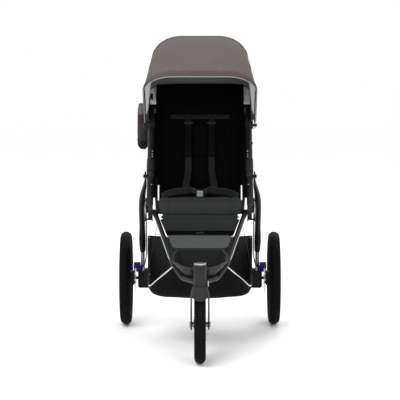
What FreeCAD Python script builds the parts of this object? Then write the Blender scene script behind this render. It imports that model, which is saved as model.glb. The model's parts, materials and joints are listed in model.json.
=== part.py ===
import FreeCAD, Part
import math
import os

# Three-wheel jogging stroller, in millimetres. X is across, +Y is to the rear, +Z is up.
# The origin is on the ground, in the middle of the stroller's length and width.
# Angles in the side view are counted from +Y (rear) towards +Z (up), in degrees.

V = FreeCAD.Vector
X_AXIS = V(1, 0, 0)
Z_AXIS = V(0, 0, 1)

# Wheels
REAR_AXLE_Y = 338.0
REAR_WHEEL_RADIUS = 191.0
REAR_WHEEL_X = 303.5
REAR_TYRE_HALF = 22.5
FRONT_AXLE_Y = -462.0
FRONT_WHEEL_RADIUS = 146.0
FRONT_TYRE_HALF = 21.0
HUB_OUTER_X = 330.0
SPINDLE_RADIUS = 6.0
DISC_X = 263.5
DISC_RADIUS = 71.0

# Steering
STEER_Y = FRONT_AXLE_Y - 80.0
HEAD_BOTTOM = 306.0
HEAD_TOP = 384.0
HEAD_RADIUS = 24.5
STEERER_RADIUS = 12.0
FORK_HALF = 35.5
BLADE_THICK = 6.0

# Side frames: A is the main fold pivot, B is the rear leg pivot on the upper tube
A = V(0, 8, 510)
TUBE_ANGLE = 42.88
TUBE_X = 198.0
TUBE_RADIUS = 13.5
LEG_PIVOT_DISTANCE = 182.4
TUBE_START = 34.0
TUBE_END = 680.0
HANDLE_DISTANCE = 797.0
HANDLE_RADIUS = 12.0
HANDLE_BEND = 60.0
GRIP_RADIUS = 16.0
GRIP_HALF = 125.0
HINGE_DISC_RADIUS = 29.5
LEVER_X = 128.0
RAIL_X = 176.0
RAIL_RADIUS = 10.0
RAIL_FRONT = V(101, -362, 358)
RUNNING_FIT = 0.05
TUBE_WALL = 1.8

# Fold linkage: C is the link's pivot on the front frame, E is its pin on the rear leg
LINK_C = A + V(0, 10.5, -33.5)
LINK_E_FROM_B = V(0, -21.2, -95.3)
LINK_X = 213.0
LINK_THICK = 3.5
LINK_PIN = 4.0
OPEN_PIVOT_GAP = 2.6

# Rear legs and suspension
LEG_X = 234.0
LEG_LENGTH = 354.0
ROD_RADIUS = 9.0
# Distance along the leg, centre x, half width across, half depth
LEG_STATIONS = (
    (-15, 217.5, 3.6, 12),
    (10, 217.5, 3.8, 15),
    (48, 222, 8, 16.5),
    (92, 230.5, 11.5, 18),
    (135, LEG_X, 12.5, 18),
    (250, LEG_X, 12.5, 18),
    (LEG_LENGTH - 14, LEG_X, 12.5, 16.5),
    (LEG_LENGTH, LEG_X, 11, 13),
)
BLOCK_X = (207.0, 255.0)
BLOCK_HEIGHT = 80.0
BEAM_RADIUS = 12.0
CABLE_X = 217.6
CABLE_RADIUS = 2.5

# Seat
SEAT_HALF = 164.0
BACK_HALF = 165.0
RECLINE_PIVOT = V(0, 205, 478)
BACK_ANGLE = 66.8
BACK_LENGTH = 490.0
BACK_THICK = 30.0

# Side pouch: height, centre y, half width, half depth
POUCH_STATIONS = (
    (716, 418, 12, 30),
    (728, 420, 19, 42),
    (800, 436, 21, 47),
    (872, 450, 20, 44),
    (898, 455, 13, 34),
)

# Canopy: both shells turn about the same pivot on the upper tubes
CANOPY_PIVOT_DISTANCE = 457.0
CANOPY_SKIN = 2.5
MAIN_BOW_ANGLE = 98.0
FRONT_BOW_ANGLE = 141.6
BOW_THICK = 3.0
MAIN_HOOD = {"hub": 218.8, "half": 192.0, "radius": 366.5, "corner": (118.0, 95.0)}
FRONT_HOOD = {"hub": 225.3, "half": 225.0, "radius": 375.0, "corner": (113.0, 128.0)}
HOOD_JOIN_ANGLE = 113.0
MAIN_HOOD_END = HOOD_JOIN_ANGLE + 3.0
HOOD_START = 46.0


def side_vector(angle):
    """Unit vector in the side view."""
    return V(0, math.cos(math.radians(angle)), math.sin(math.radians(angle)))


TUBE = side_vector(TUBE_ANGLE)
UNDER_TUBE = side_vector(TUBE_ANGLE - 90)
B = A + TUBE * LEG_PIVOT_DISTANCE
REAR_AXLE = V(0, REAR_AXLE_Y, REAR_WHEEL_RADIUS)
FRONT_AXLE = V(0, FRONT_AXLE_Y, FRONT_WHEEL_RADIUS)
LEG = (REAR_AXLE - B).normalize()
LEG_FRONT = V(0, LEG.z, -LEG.y)
LINK_E = B + LINK_E_FROM_B
CANOPY_PIVOT = A + TUBE * CANOPY_PIVOT_DISTANCE
PEDAL_PIVOT = REAR_AXLE + V(0, 20, 20)
LEVER_AWAY = V(0, -0.94, -0.34).normalize()
LEVER_AXIS = V(0, LEVER_AWAY.z, -LEVER_AWAY.y)
LEVER_PIVOT = A + TUBE * HANDLE_DISTANCE + LEVER_AWAY * 34 + V(LEVER_X, 0, 0)
BACK = side_vector(BACK_ANGLE)
BACK_REAR = side_vector(BACK_ANGLE - 90)


def at_x(point, x):
    return V(x, point.y, point.z)


def mirrored(shape):
    return shape.mirror(V(0, 0, 0), X_AXIS)


def both(shape):
    """The shape and its mirror image on the other side, as separate solids."""
    return Part.makeCompound([shape, mirrored(shape)])


def rod(start, end, radius):
    return Part.makeCylinder(radius, (end - start).Length, start, end - start)


def pin(point, x0, x1, radius):
    """A cylinder across the stroller, from x0 to x1."""
    return Part.makeCylinder(radius, x1 - x0, at_x(point, x0), X_AXIS)


def ring(point, x0, x1, outer, inner):
    return pin(point, x0, x1, outer).cut(pin(point, x0 - 1, x1 + 1, inner))


def block(low, high, fillet=0.0):
    size = high - low
    solid = Part.makeBox(size.x, size.y, size.z, low)
    return solid.makeFillet(fillet, solid.Edges) if fillet else solid


def side_plate(points, x0, x1):
    """A plate whose outline is given by (y, z) points, from x0 to x1."""
    outline = [V(x0, y, z) for y, z in points]
    face = Part.Face(Part.makePolygon(outline + outline[:1]))
    return face.extrude(V(x1 - x0, 0, 0))


def rounded_path(points, radii):
    """Straight runs joined by tangent arcs, as one wire."""
    edges = []
    start = points[0]
    for corner, after, radius in zip(points[1:-1], points[2:], radii):
        into = (corner - start).normalize()
        out = (after - corner).normalize()
        half_turn = into.getAngle(out) / 2
        back = radius * math.tan(half_turn)
        first = corner - into * back
        last = corner + out * back
        to_middle = (out - into).normalize()
        middle = corner + to_middle * (radius / math.cos(half_turn) - radius)
        edges.append(Part.LineSegment(start, first).toShape())
        edges.append(Part.Arc(first, middle, last).toShape())
        start = last
    edges.append(Part.LineSegment(start, points[-1]).toShape())
    return Part.Wire(edges)


def bent_tube(points, radius, bends):
    path = rounded_path(points, bends)
    direction = points[1] - points[0]
    section = Part.Wire(Part.makeCircle(radius, points[0], direction))
    return path.makePipeShell([section], True, False)


def cable_bends(points):
    """The largest bend that the runs on both sides of each point allow."""
    bends = []
    for before, corner, after in zip(points, points[1:], points[2:]):
        runs = (corner - before, after - corner)
        half_turn = runs[0].getAngle(runs[1]) / 2
        bends.append(0.45 * min(run.Length for run in runs) / math.tan(half_turn))
    return bends


def cable(name, points):
    bends = cable_bends(points)
    print(name, "bend radii", [round(bend, 1) for bend in bends])
    return bent_tube(points, CABLE_RADIUS, bends)


def loft(wires, ruled=False):
    return Part.makeLoft(wires, True, ruled)


def oval(centre, across, along, half_across, half_along):
    """A closed oval wire in the plane of the unit vectors across and along."""
    points = []
    for step in range(16):
        turn = math.radians(22.5 * step)
        side = across * (half_across * math.cos(turn))
        points.append(centre + side + along * (half_along * math.sin(turn)))
    curve = Part.BSplineCurve()
    curve.interpolate(points, PeriodicFlag=True)
    return Part.Wire(curve.toShape())


# ---------------------------------------------------------------- wheels

def tyre(axle, x, radius, half_width, height):
    """A ring with an oval section, cut flat where it sits on the rim."""
    centre = V(x, axle.y, axle.z + radius - height / 2)
    section = Part.Face(oval(centre, X_AXIS, Z_AXIS, half_width, height / 2))
    body = section.revolve(at_x(axle, 0), X_AXIS, 360)
    return body.cut(pin(axle, x - half_width, x + half_width, radius - height + 3))


def wheel(axle, x, seat_radius, half_width, hub, spokes, hub_radius):
    """Moulded wheel: a deep rim, a hub with a running bore, and paired spokes between them."""
    rim = ring(axle, x - half_width, x + half_width, seat_radius, seat_radius - 9)
    groove = ring(axle, x - half_width + 4, x + half_width - 4, seat_radius + 1, seat_radius - 3)
    rim = rim.cut(groove)
    middle = pin(axle, hub[0], hub[1], hub_radius)
    pieces = []
    for index in range(spokes):
        turn = 360.0 * index / spokes
        lean = 9 if index % 2 else -9
        start = axle + side_vector(turn + lean) * (hub_radius - 5)
        end = axle + side_vector(turn) * (seat_radius - 4)
        run = end - start
        across = V(0, -run.z, run.y).normalize()
        inner = oval(at_x(start, x), X_AXIS, across, half_width - 2, 7)
        outer = oval(at_x(end, x), X_AXIS, across, half_width - 6, 5)
        pieces.append(loft([inner, outer], True).cut(middle).cut(rim))
    flanges = []
    for index in range(5):
        nut = axle + side_vector(72 * index) * (hub_radius - 8)
        flanges.append(pin(nut, hub[0] - 3, hub[0] + 1, 4))
    body = Part.makeCompound([rim, middle.multiFuse(flanges)] + pieces)
    return body.cut(pin(axle, hub[0] - 5, hub[1] - 8, SPINDLE_RADIUS + RUNNING_FIT))


def rear_wheel_parts():
    hub = (DISC_X + 6.5, HUB_OUTER_X)
    solid = wheel(REAR_AXLE, REAR_WHEEL_X, REAR_WHEEL_RADIUS - 37, 15, hub, 10, 30)
    rubber = tyre(REAR_AXLE, REAR_WHEEL_X, REAR_WHEEL_RADIUS, REAR_TYRE_HALF, 40)
    disc = ring(REAR_AXLE, DISC_X - 1, DISC_X + 1, DISC_RADIUS, 14)
    for index in range(12):
        spot = REAR_AXLE + side_vector(30 * index) * 55
        disc = disc.cut(pin(spot, DISC_X - 2, DISC_X + 2, 5))
    carrier = ring(REAR_AXLE, DISC_X + 1, DISC_X + 3.5, 24, SPINDLE_RADIUS + 3)
    return {"tyre": rubber, "wheel": solid.cut(rubber), "brake_disc": disc.fuse(carrier)}


def front_wheel():
    hub = (-FRONT_TYRE_HALF, FRONT_TYRE_HALF)
    body = wheel(FRONT_AXLE, 0, FRONT_WHEEL_RADIUS - 35, 13, hub, 8, 22)
    return body.cut(pin(FRONT_AXLE, -30, 30, SPINDLE_RADIUS + RUNNING_FIT))


# ---------------------------------------------------------------- fork and head

def fork():
    """Steerer, arched crown over the tyre, and two thin blades down to the front axle."""
    steer = V(0, STEER_Y, 0)
    steerer = Part.makeCylinder(STEERER_RADIUS, HEAD_TOP - HEAD_BOTTOM + 6, V(0, STEER_Y, HEAD_BOTTOM - 6))
    sections = []
    for z, half_x, half_y in ((247, 35.5, 32), (268, 35.5, 33), (288, 32, 31), (HEAD_BOTTOM - 2, 26, 26)):
        sections.append(oval(steer + V(0, 0, z), X_AXIS, V(0, 1, 0), half_x, half_y))
    crown = loft(sections, True)
    crown = crown.cut(pin(FRONT_AXLE, -FORK_HALF + BLADE_THICK, FORK_HALF - BLADE_THICK, 154))
    outline = [(STEER_Y - 26, 262), (STEER_Y + 30, 262), (FRONT_AXLE_Y + 16, 158)]
    outline += [(FRONT_AXLE_Y + 14, 132), (FRONT_AXLE_Y, 125), (FRONT_AXLE_Y - 16, 134)]
    blade = side_plate(outline, FORK_HALF - BLADE_THICK, FORK_HALF)
    body = steerer.multiFuse([crown, blade, mirrored(blade)])
    return body.cut(pin(FRONT_AXLE, -40, 40, SPINDLE_RADIUS))


def front_axle():
    """Through axle with a spacer and a nut on each side."""
    body = pin(FRONT_AXLE, -FORK_HALF - 3, FORK_HALF + 3, SPINDLE_RADIUS)
    spacer = pin(FRONT_AXLE, FRONT_TYRE_HALF + 0.4, FORK_HALF - BLADE_THICK, 9)
    nut = pin(FRONT_AXLE, FORK_HALF, FORK_HALF + 4, 10)
    return body.multiFuse([spacer, mirrored(spacer), nut, mirrored(nut)])


def head_tube():
    """Head tube with two raised collars, bored for the steerer."""
    body = Part.makeCylinder(HEAD_RADIUS - 1.5, HEAD_TOP - HEAD_BOTTOM, V(0, STEER_Y, HEAD_BOTTOM))
    for z in (HEAD_BOTTOM, HEAD_TOP - 9, HEAD_TOP - 19):
        body = body.fuse(Part.makeCylinder(HEAD_RADIUS, 7, V(0, STEER_Y, z)))
    body = body.fuse(swivel_lock_boss())
    gusset = block(V(-12, STEER_Y + 18, HEAD_BOTTOM + 4), V(12, STEER_Y + 40, HEAD_BOTTOM + 22), 4)
    body = body.fuse(gusset)
    bore = Part.makeCylinder(STEERER_RADIUS + RUNNING_FIT, 200, V(0, STEER_Y, HEAD_BOTTOM - 20))
    return body.cut(bore)


def head_cap():
    """Flat cap that closes the head tube, domed at its edge."""
    cap = Part.makeCylinder(HEAD_RADIUS - 2, 6, V(0, STEER_Y, HEAD_TOP))
    return cap.makeFillet(2, [edge for edge in cap.Edges if edge.BoundBox.ZMin > HEAD_TOP + 5])


def swivel_lock_lever():
    """Flip lever on the right of the head tube that pins the fork straight."""
    lever = block(V(27.5, STEER_Y - 5, HEAD_BOTTOM - 4), V(32.5, STEER_Y + 5, HEAD_BOTTOM + 18), 2)
    bore = pin(V(0, STEER_Y, HEAD_BOTTOM + 12), 20, 40, 2.5 + RUNNING_FIT)
    return lever.cut(bore)


def swivel_lock_boss():
    """Boss on the head tube that carries the lock lever's pin."""
    point = V(0, STEER_Y, HEAD_BOTTOM + 12)
    return pin(point, HEAD_RADIUS - 6, 27, 6).fuse(pin(point, 26, 32, 2.5))


# ---------------------------------------------------------------- front frame

def rail_points():
    start = V(RAIL_X, A.y - 18, A.z - 7)
    return [start, RAIL_FRONT, V(64, -438, 317), V(16, STEER_Y + 20, 317)]


def front_rail(radius=RAIL_RADIUS):
    return bent_tube(rail_points(), radius, [90.0, 60.0])


def hollow_rail():
    """Side rail as a tube, open at both ends."""
    return front_rail().cut(front_rail(RAIL_RADIUS - TUBE_WALL))


def hinge_plate():
    """Cheek plate of the main fold on the front frame, with the fold pin and the link pin."""
    disc = pin(A, 186, 190.5, 31)
    lobe = pin(LINK_C, 186, 190.5, 9)
    outline = [(A.y - 26, A.z + 4), (A.y + 19, A.z - 38), (A.y + 2, A.z - 42), (A.y - 27, A.z - 14)]
    web = side_plate(outline, 186, 190.5)
    fold_pin = pin(A, 166, 209, 7)
    link_pin = pin(LINK_C, 189, LINK_X + LINK_THICK + 1, LINK_PIN)
    plate = disc.multiFuse([lobe, web, fold_pin, link_pin])
    return plate


def seat_cross_tube():
    """Tube under the seat that joins the two hinge plates."""
    return pin(A, -166, 166, 11)


def keel():
    """Tray carrier under the footwell, between the rails."""
    return pin(V(0, -424, 319.5), -68, 68, 6)


def tray_outline(top, inset):
    """Half outline of the footwell from the rear to the front, as (x, y) points."""
    if top:
        points = [(88, -272), (101, -330), (101, -420), (72, -480), (38, -508)]
    else:
        points = [(60, -296), (70, -335), (70, -410), (52, -462), (28, -482)]
    shrunk = []
    for x, y in points:
        shrunk.append((x - inset, y + inset * (y + 390) / -118.0))
    return shrunk


def tray_wire(top, inset, lift=0.0):
    """Closed outline: the top one slopes down to the front, the bottom one is level."""
    half = tray_outline(top, inset)
    whole = half + [(-x, y) for x, y in reversed(half)]
    points = []
    for x, y in whole:
        z = 397 + 0.137 * (y + 272) if top else 330 + lift
        points.append(V(x, y, z + (lift if top else 0)))
    return Part.Wire(Part.makePolygon(points + points[:1]))


def footwell():
    """Foot tray: an open tub with eight sides and a raised rim."""
    outer = loft([tray_wire(False, 0), tray_wire(True, 0)], True)
    inner = loft([tray_wire(False, 5, 5), tray_wire(True, 5, 1)], True)
    rim_outer = loft([tray_wire(True, -3, -5), tray_wire(True, -3, 1)], True)
    rim_inner = loft([tray_wire(True, 5, -6), tray_wire(True, 5, 2)], True)
    tub = outer.cut(inner).fuse(rim_outer.cut(rim_inner)).cut(inner)
    return tub.cut(both(front_rail(RAIL_RADIUS + 0.5)))


def sloped_panel(top, bottom, top_half, bottom_half, thickness):
    """A flat panel between two level edges, given by (y, z) points."""
    normal = V(0, top[1] - bottom[1], bottom[0] - top[0]).normalize() * thickness
    corners = [V(-top_half, *top), V(top_half, *top)]
    corners += [V(bottom_half, *bottom), V(-bottom_half, *bottom)]
    return Part.Face(Part.makePolygon(corners + corners[:1])).extrude(normal)


def apron():
    return sloped_panel((-162, 441), (-258, 402), 105, 101, 5)


def calf_panel():
    return sloped_panel((-93, 503), (-142, 448), 147, 123, 9)


def seat_base():
    """Seat cushion on the front frame, with its raised front edge."""
    outline = [(-82, 569), (-40, 569), (60, 540), (188, 504), (188, 480), (-70, 480), (-92, 504)]
    body = side_plate(outline, -SEAT_HALF, SEAT_HALF)
    body = body.cut(both(front_rail(RAIL_RADIUS + 1.5)))
    return body.cut(pin(A, -170, 170, 11.5)).cut(calf_panel())


def buckle():
    """Crotch buckle on the seat, with a window for its button."""
    low = V(-19, 30, 553)
    body = block(low, V(19, 46, 592), 5)
    stem = block(V(-12, 34, 548.5), V(12, 42, 556))
    window = block(V(-12.5, 20, 564), V(12.5, 40, 588))
    return body.fuse(stem).cut(window)


def buckle_button():
    return block(V(-12, 24, 564.5), V(12, 35, 587.5), 3)


# ---------------------------------------------------------------- basket

def basket_section(y, half, top, bottom):
    """U-shaped section of the basket's cloth at one place along its length."""
    skin = 3.0
    outer = [(-half, top), (-half + 8, bottom + 14), (-half + 26, bottom), (half - 26, bottom)]
    outer += [(half - 8, bottom + 14), (half, top)]
    inner = [(half - skin, top), (half - 8 - skin, bottom + 14 + skin), (half - 27, bottom + skin)]
    inner += [(-half + 27, bottom + skin), (-half + 8 + skin, bottom + 14 + skin), (-half + skin, top)]
    points = [V(x, y, z) for x, z in outer + inner]
    return Part.Wire(Part.makePolygon(points + points[:1]))


def basket():
    """Storage basket: slopes down from the tray, runs level, and ends in a high rear wall."""
    trough = loft([
        basket_section(-285, 92, 345, 322),
        basket_section(-92, 198, 228, 184),
        basket_section(100, 206, 300, 178),
        basket_section(285, 212, 372, 180),
    ], True)
    rear = block(V(-212, 285, 194), V(212, 288, 372))
    low_rear = side_plate([(285, 180), (288, 180), (288, 194.0), (285, 194.0)], -186, 186)
    front = block(V(-92, -288, 322), V(92, -285, 340))
    return trough.multiFuse([rear, low_rear, front])


# ---------------------------------------------------------------- upper frame

def whole_tube():
    base = at_x(A, TUBE_X)
    return rod(base + TUBE * TUBE_START, base + TUBE * TUBE_END, TUBE_RADIUS)


def upper_tube():
    """Side tube from the fold hinge up to the handlebar, whose leg slides in its bore."""
    base = at_x(A, TUBE_X)
    bore = rod(base + TUBE * (TUBE_START + 6), base + TUBE * (TUBE_END + 5), HANDLE_RADIUS + RUNNING_FIT)
    return whole_tube().cut(bore)


def hinge_disc():
    """Round housing at the tube's lower end, with a running bore for the fold pin."""
    disc = pin(A, 191, 204, HINGE_DISC_RADIUS)
    rim = [edge for edge in disc.Edges if edge.BoundBox.XMin > 203 and edge.BoundBox.XLength < 1]
    disc = disc.makeFillet(3, rim)
    base = at_x(A, TUBE_X)
    foot = rod(base + TUBE * 12, base + TUBE * (TUBE_START + 26), TUBE_RADIUS + 2.5)
    keep = block(V(191, -100, 400), V(211.5, 200, 700))
    shoe = foot.common(keep).cut(rod(base + TUBE * TUBE_START, base + TUBE * 90, TUBE_RADIUS))
    return disc.fuse(shoe).cut(pin(A, 180, 215, 7 + RUNNING_FIT))


def tube_sleeve():
    """Moulded housing round the tube, just above the rear leg's pivot."""
    base = at_x(A, TUBE_X)
    body = rod(base + TUBE * 203, base + TUBE * 268, TUBE_RADIUS + 2.2)
    body = body.makeFillet(1.5, [body.Edges[0], body.Edges[2]])
    return body.cut(rod(base + TUBE * 190, base + TUBE * 280, TUBE_RADIUS))


def leg_pivot():
    """Clamp collar on the tube with the rear leg's pivot pin."""
    base = at_x(A, TUBE_X)
    collar = rod(base + TUBE * 170, base + TUBE * 195, TUBE_RADIUS + 1.2)
    stub = pin(B, 205, 224, 6)
    head = pin(B, 222.2, 225, 9)
    return collar.multiFuse([stub, head]).cut(rod(base + TUBE * 160, base + TUBE * 205, TUBE_RADIUS))


def canopy_mount():
    """Boss on the tube with the pin that both canopy hubs turn on."""
    base = at_x(A, TUBE_X)
    boss = pin(CANOPY_PIVOT, 200, 212.9, 17)
    stub = pin(CANOPY_PIVOT, 205, 227, 5)
    grip = rod(base + TUBE * 435, base + TUBE * 479, TUBE_RADIUS + 1.2)
    return boss.multiFuse([stub, grip]).cut(rod(base + TUBE * 420, base + TUBE * 500, TUBE_RADIUS))


def upper_cross_bar():
    """Bar between the tops of the two side tubes, behind the canopy."""
    reach = TUBE_X - TUBE_RADIUS + 4
    return pin(A + TUBE * 650, -reach, reach, 8).cut(both(whole_tube()))


def seat_hinge_rod():
    """U-shaped rod from the hinge housings round the hip, which the seat back turns on."""
    start = A + TUBE * 75
    points = [at_x(start, 173), at_x(RECLINE_PIVOT, 173)]
    whole = points + [at_x(point, -173) for point in reversed(points)]
    bar = bent_tube(whole, 6, [14.0, 14.0])
    stub = rod(at_x(start, 172), at_x(start, TUBE_X - 8), 5)
    tubes = both(rod(at_x(A, TUBE_X), at_x(A + TUBE * 200, TUBE_X), TUBE_RADIUS))
    return bar.multiFuse([stub, mirrored(stub)]).cut(tubes)


def height_button(side):
    """Push button on the tube's end that frees the handlebar's leg."""
    base = at_x(A + TUBE * 664, side * (TUBE_X + TUBE_RADIUS + 2.6))
    return Part.makeCylinder(5, 5.2, base, X_AXIS * side)


def tube_end_collar():
    """Collar at the tube's end with a pocket for the height button."""
    base = at_x(A, TUBE_X)
    collar = rod(base + TUBE * 648, base + TUBE * (TUBE_END + 3), TUBE_RADIUS + 3)
    boss = pin(A + TUBE * 664, TUBE_X + 8, TUBE_X + TUBE_RADIUS + 4.6, 8)
    hollow = rod(base + TUBE * 640, base + TUBE * TUBE_END, TUBE_RADIUS)
    throat = rod(base + TUBE * 670, base + TUBE * 690, HANDLE_RADIUS + 0.4)
    pocket = pin(A + TUBE * 664, TUBE_X + TUBE_RADIUS + 0.2, 250, 5.3)
    body = collar.fuse(boss).cut(hollow).cut(throat).cut(pocket)
    return body.cut(upper_cross_bar())


def side_pouch():
    """Soft bottle pouch that hangs outside the left tube."""
    sections = []
    for z, y, half_x, half_y in POUCH_STATIONS:
        sections.append(oval(V(-235, y, z), X_AXIS, V(0, 1, 0), half_x, half_y))
    return loft(sections)


# ---------------------------------------------------------------- handlebar

def handle_points():
    inner = A + TUBE * 530
    outer = A + TUBE * HANDLE_DISTANCE
    points = [at_x(inner, TUBE_X), at_x(outer, TUBE_X)]
    return points + [at_x(point, -TUBE_X) for point in reversed(points)]


def handlebar():
    outer = bent_tube(handle_points(), HANDLE_RADIUS, [HANDLE_BEND, HANDLE_BEND])
    return outer.cut(bent_tube(handle_points(), HANDLE_RADIUS - TUBE_WALL, [HANDLE_BEND, HANDLE_BEND]))


def handlebar_grip():
    grip = ring(A + TUBE * HANDLE_DISTANCE, -GRIP_HALF, GRIP_HALF, GRIP_RADIUS, HANDLE_RADIUS)
    ends = [edge for edge in grip.Edges if edge.BoundBox.XLength < 0.1]
    outer = [edge for edge in ends if edge.BoundBox.YLength > 2 * GRIP_RADIUS - 1]
    return grip.makeFillet(1.8, outer)


def lever_bracket():
    """Clamp on the bar that carries the brake lever's pin."""
    bar = A + TUBE * HANDLE_DISTANCE
    clamp = ring(bar, GRIP_HALF + 2, GRIP_HALF + 14, HANDLE_RADIUS + 3, HANDLE_RADIUS)
    ears = []
    for side in (-1, 1):
        foot = at_x(bar, GRIP_HALF + 8) + LEVER_AWAY * (HANDLE_RADIUS + 1) + LEVER_AXIS * (side * 8.5)
        tip = LEVER_PIVOT + V(4, 0, 0) + LEVER_AXIS * (side * 8.5)
        ears.append(rod(foot, tip, 2.8))
        ears.append(Part.makeCylinder(6, 4, LEVER_PIVOT + LEVER_AXIS * (side * 8.5 - 2), LEVER_AXIS))
    ears.append(Part.makeCylinder(2.5, 20, LEVER_PIVOT - LEVER_AXIS * 10, LEVER_AXIS))
    return clamp.multiFuse(ears).cut(pin(bar, 100, 160, HANDLE_RADIUS))


def brake_lever():
    """Hand lever that lies along the front of the grip."""
    end = LEVER_PIVOT + V(-112, 0, 0) + LEVER_AWAY * 10
    bend = LEVER_PIVOT + V(-26, 0, 0) + LEVER_AWAY * 8
    blade = bent_tube([LEVER_PIVOT, bend, end], 4.5, [40.0])
    knob = Part.makeSphere(6, end)
    eye = Part.makeCylinder(7, 10, LEVER_PIVOT - LEVER_AXIS * 5, LEVER_AXIS)
    hole = Part.makeCylinder(2.5 + RUNNING_FIT, 30, LEVER_PIVOT - LEVER_AXIS * 15, LEVER_AXIS)
    return blade.multiFuse([knob, eye]).cut(hole)


# ---------------------------------------------------------------- seat back

def seat_back():
    """Padded back on its board, from the hip to above the shoulders."""
    foot = RECLINE_PIVOT + BACK * 22
    low = foot + BACK_REAR * 4
    top = RECLINE_PIVOT + BACK * BACK_LENGTH + BACK_REAR * 4
    outline = [low, top, top + BACK_REAR * BACK_THICK, low + BACK_REAR * BACK_THICK]
    return side_plate([(point.y, point.z) for point in outline], -BACK_HALF, BACK_HALF)


def seat_back_frame():
    """Bent wire behind the back, with sleeves on the hinge rod."""
    behind = BACK_REAR * (BACK_THICK + 9.5)
    low = RECLINE_PIVOT + BACK * 30 + behind
    top = RECLINE_PIVOT + BACK * (BACK_LENGTH - 12) + behind
    points = [at_x(low, 140), at_x(top, 140), at_x(top, -140), at_x(low, -140)]
    wire = bent_tube(points, 5, [40.0, 40.0])
    pieces = []
    for side in (-1, 1):
        x = 140 * side
        pieces.append(rod(at_x(RECLINE_PIVOT, x) + BACK_REAR * 8, at_x(low, x), 5))
        pieces.append(Part.makeSphere(5, at_x(low, x)))
        pieces.append(pin(RECLINE_PIVOT, x - 10, x + 10, 10))
    body = wire.multiFuse(pieces)
    return body.cut(pin(RECLINE_PIVOT, -160, 160, 6 + RUNNING_FIT)).cut(seat_back())


def harness():
    """Shoulder straps with their pads, on the front of the back."""
    straps = []
    for side in (-1, 1):
        for low, high, half, deep in ((70, 232, 9, 3), (232, 368, 15, 11), (368, 392, 9, 3)):
            front = BACK_REAR * (4 - deep)
            corners = []
            for along, depth in ((low, 0), (high, 0), (high, deep - 0.3), (low, deep - 0.3)):
                point = RECLINE_PIVOT + BACK * along + front + BACK_REAR * depth
                corners.append((point.y, point.z))
            straps.append(side_plate(corners, side * 48 - half, side * 48 + half))
    left = straps[0].multiFuse(straps[1:3])
    right = straps[3].multiFuse(straps[4:6])
    return Part.makeCompound([left, right])


# ---------------------------------------------------------------- canopy

def hood_half(shape, shrink, from_radius):
    """Half outline of a hood across the stroller, as (x, radius) points from hub to top."""
    half = shape["half"] - shrink
    top = shape["radius"] - shrink
    wide, tall = shape["corner"]
    slope = (shape["half"] - shape["hub"]) / (top - tall - HOOD_START)
    low = shape["hub"] - shrink + slope * (from_radius - HOOD_START)
    points = [(low, from_radius), (half, top - tall)]
    for step in range(1, 8):
        turn = math.radians(90.0 * step / 8)
        points.append((half - wide + wide * math.cos(turn), top - tall + tall * math.sin(turn)))
    points.append((half - wide, top))
    return points


def hood_edges(shape, shrink, from_radius):
    half = hood_half(shape, shrink, from_radius)
    right = [V(x, 0, radius) for x, radius in half]
    left = [V(-x, 0, radius) for x, radius in half]
    corner = Part.BSplineCurve()
    corner.interpolate(right[1:])
    other = Part.BSplineCurve()
    other.interpolate(left[1:])
    return [
        Part.makeLine(right[0], right[1]),
        corner.toShape(),
        Part.makeLine(right[-1], left[-1]),
        other.toShape(),
        Part.makeLine(left[1], left[0]),
    ], right[0], left[0]


def hood(shape, inside, skin, start, end, from_radius=HOOD_START):
    """A band of a hood about the canopy pivot, between two angles in the side view."""
    outer, outer_right, outer_left = hood_edges(shape, inside, from_radius)
    inner, inner_right, inner_left = hood_edges(shape, inside + skin, from_radius)
    ends = [Part.makeLine(outer_right, inner_right), Part.makeLine(outer_left, inner_left)]
    wire = Part.Wire(Part.__sortEdges__(outer + inner + ends))
    face = Part.Face(wire)
    face.rotate(V(0, 0, 0), X_AXIS, start - 90)
    solid = face.revolve(V(0, 0, 0), X_AXIS, end - start)
    solid.translate(CANOPY_PIVOT)
    return solid


def hub(x0, thick, angle):
    """Flat hub of a bow, with an arm towards the bow and a running bore."""
    disc = pin(CANOPY_PIVOT, x0, x0 + thick, 15)
    way = side_vector(angle)
    across = side_vector(angle + 90) * 4
    tip = way * (HOOD_START - 0.5)
    corners = [way * 5 + across, tip + across, tip - across, way * 5 - across]
    arm = side_plate([(p.y + CANOPY_PIVOT.y, p.z + CANOPY_PIVOT.z) for p in corners], x0, x0 + thick)
    return disc.fuse(arm).cut(pin(CANOPY_PIVOT, x0 - 2, x0 + thick + 2, 5 + RUNNING_FIT))


def canopy_bow(shape, angle, width, hub_gap):
    """A flat strip inside a hood, with its two hubs."""
    strip = hood(shape, CANOPY_SKIN, BOW_THICK, angle, angle + width, HOOD_START - 4)
    outside = shape["hub"] - CANOPY_SKIN
    arm = hub(outside - BOW_THICK + hub_gap, BOW_THICK - hub_gap, angle + width / 2)
    return strip.multiFuse([arm, mirrored(arm)])


def canopy_rear_panel():
    """Rear cloth of the canopy, from the cross bar up to the main bow's place."""
    foot = A + TUBE * 636 + side_vector(TUBE_ANGLE + 90) * 13
    head = CANOPY_PIVOT + side_vector(93.5) * 340
    run = head - foot
    normal = V(0, -run.z, run.y).normalize() * 3
    corners = []
    for share, half in ((0, 176), (0.68, 172), (0.88, 150), (1, 118)):
        corners.append(foot + run * share + V(half, 0, 0))
    corners += [V(-point.x, point.y, point.z) for point in reversed(corners)]
    return Part.Face(Part.makePolygon(corners + corners[:1])).extrude(normal)


# ---------------------------------------------------------------- rear legs and axle

def leg_section(along, centre_x, half_x, half_side):
    centre = at_x(B + LEG * along, centre_x)
    return oval(centre, X_AXIS, LEG_FRONT, half_x, half_side)


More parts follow.
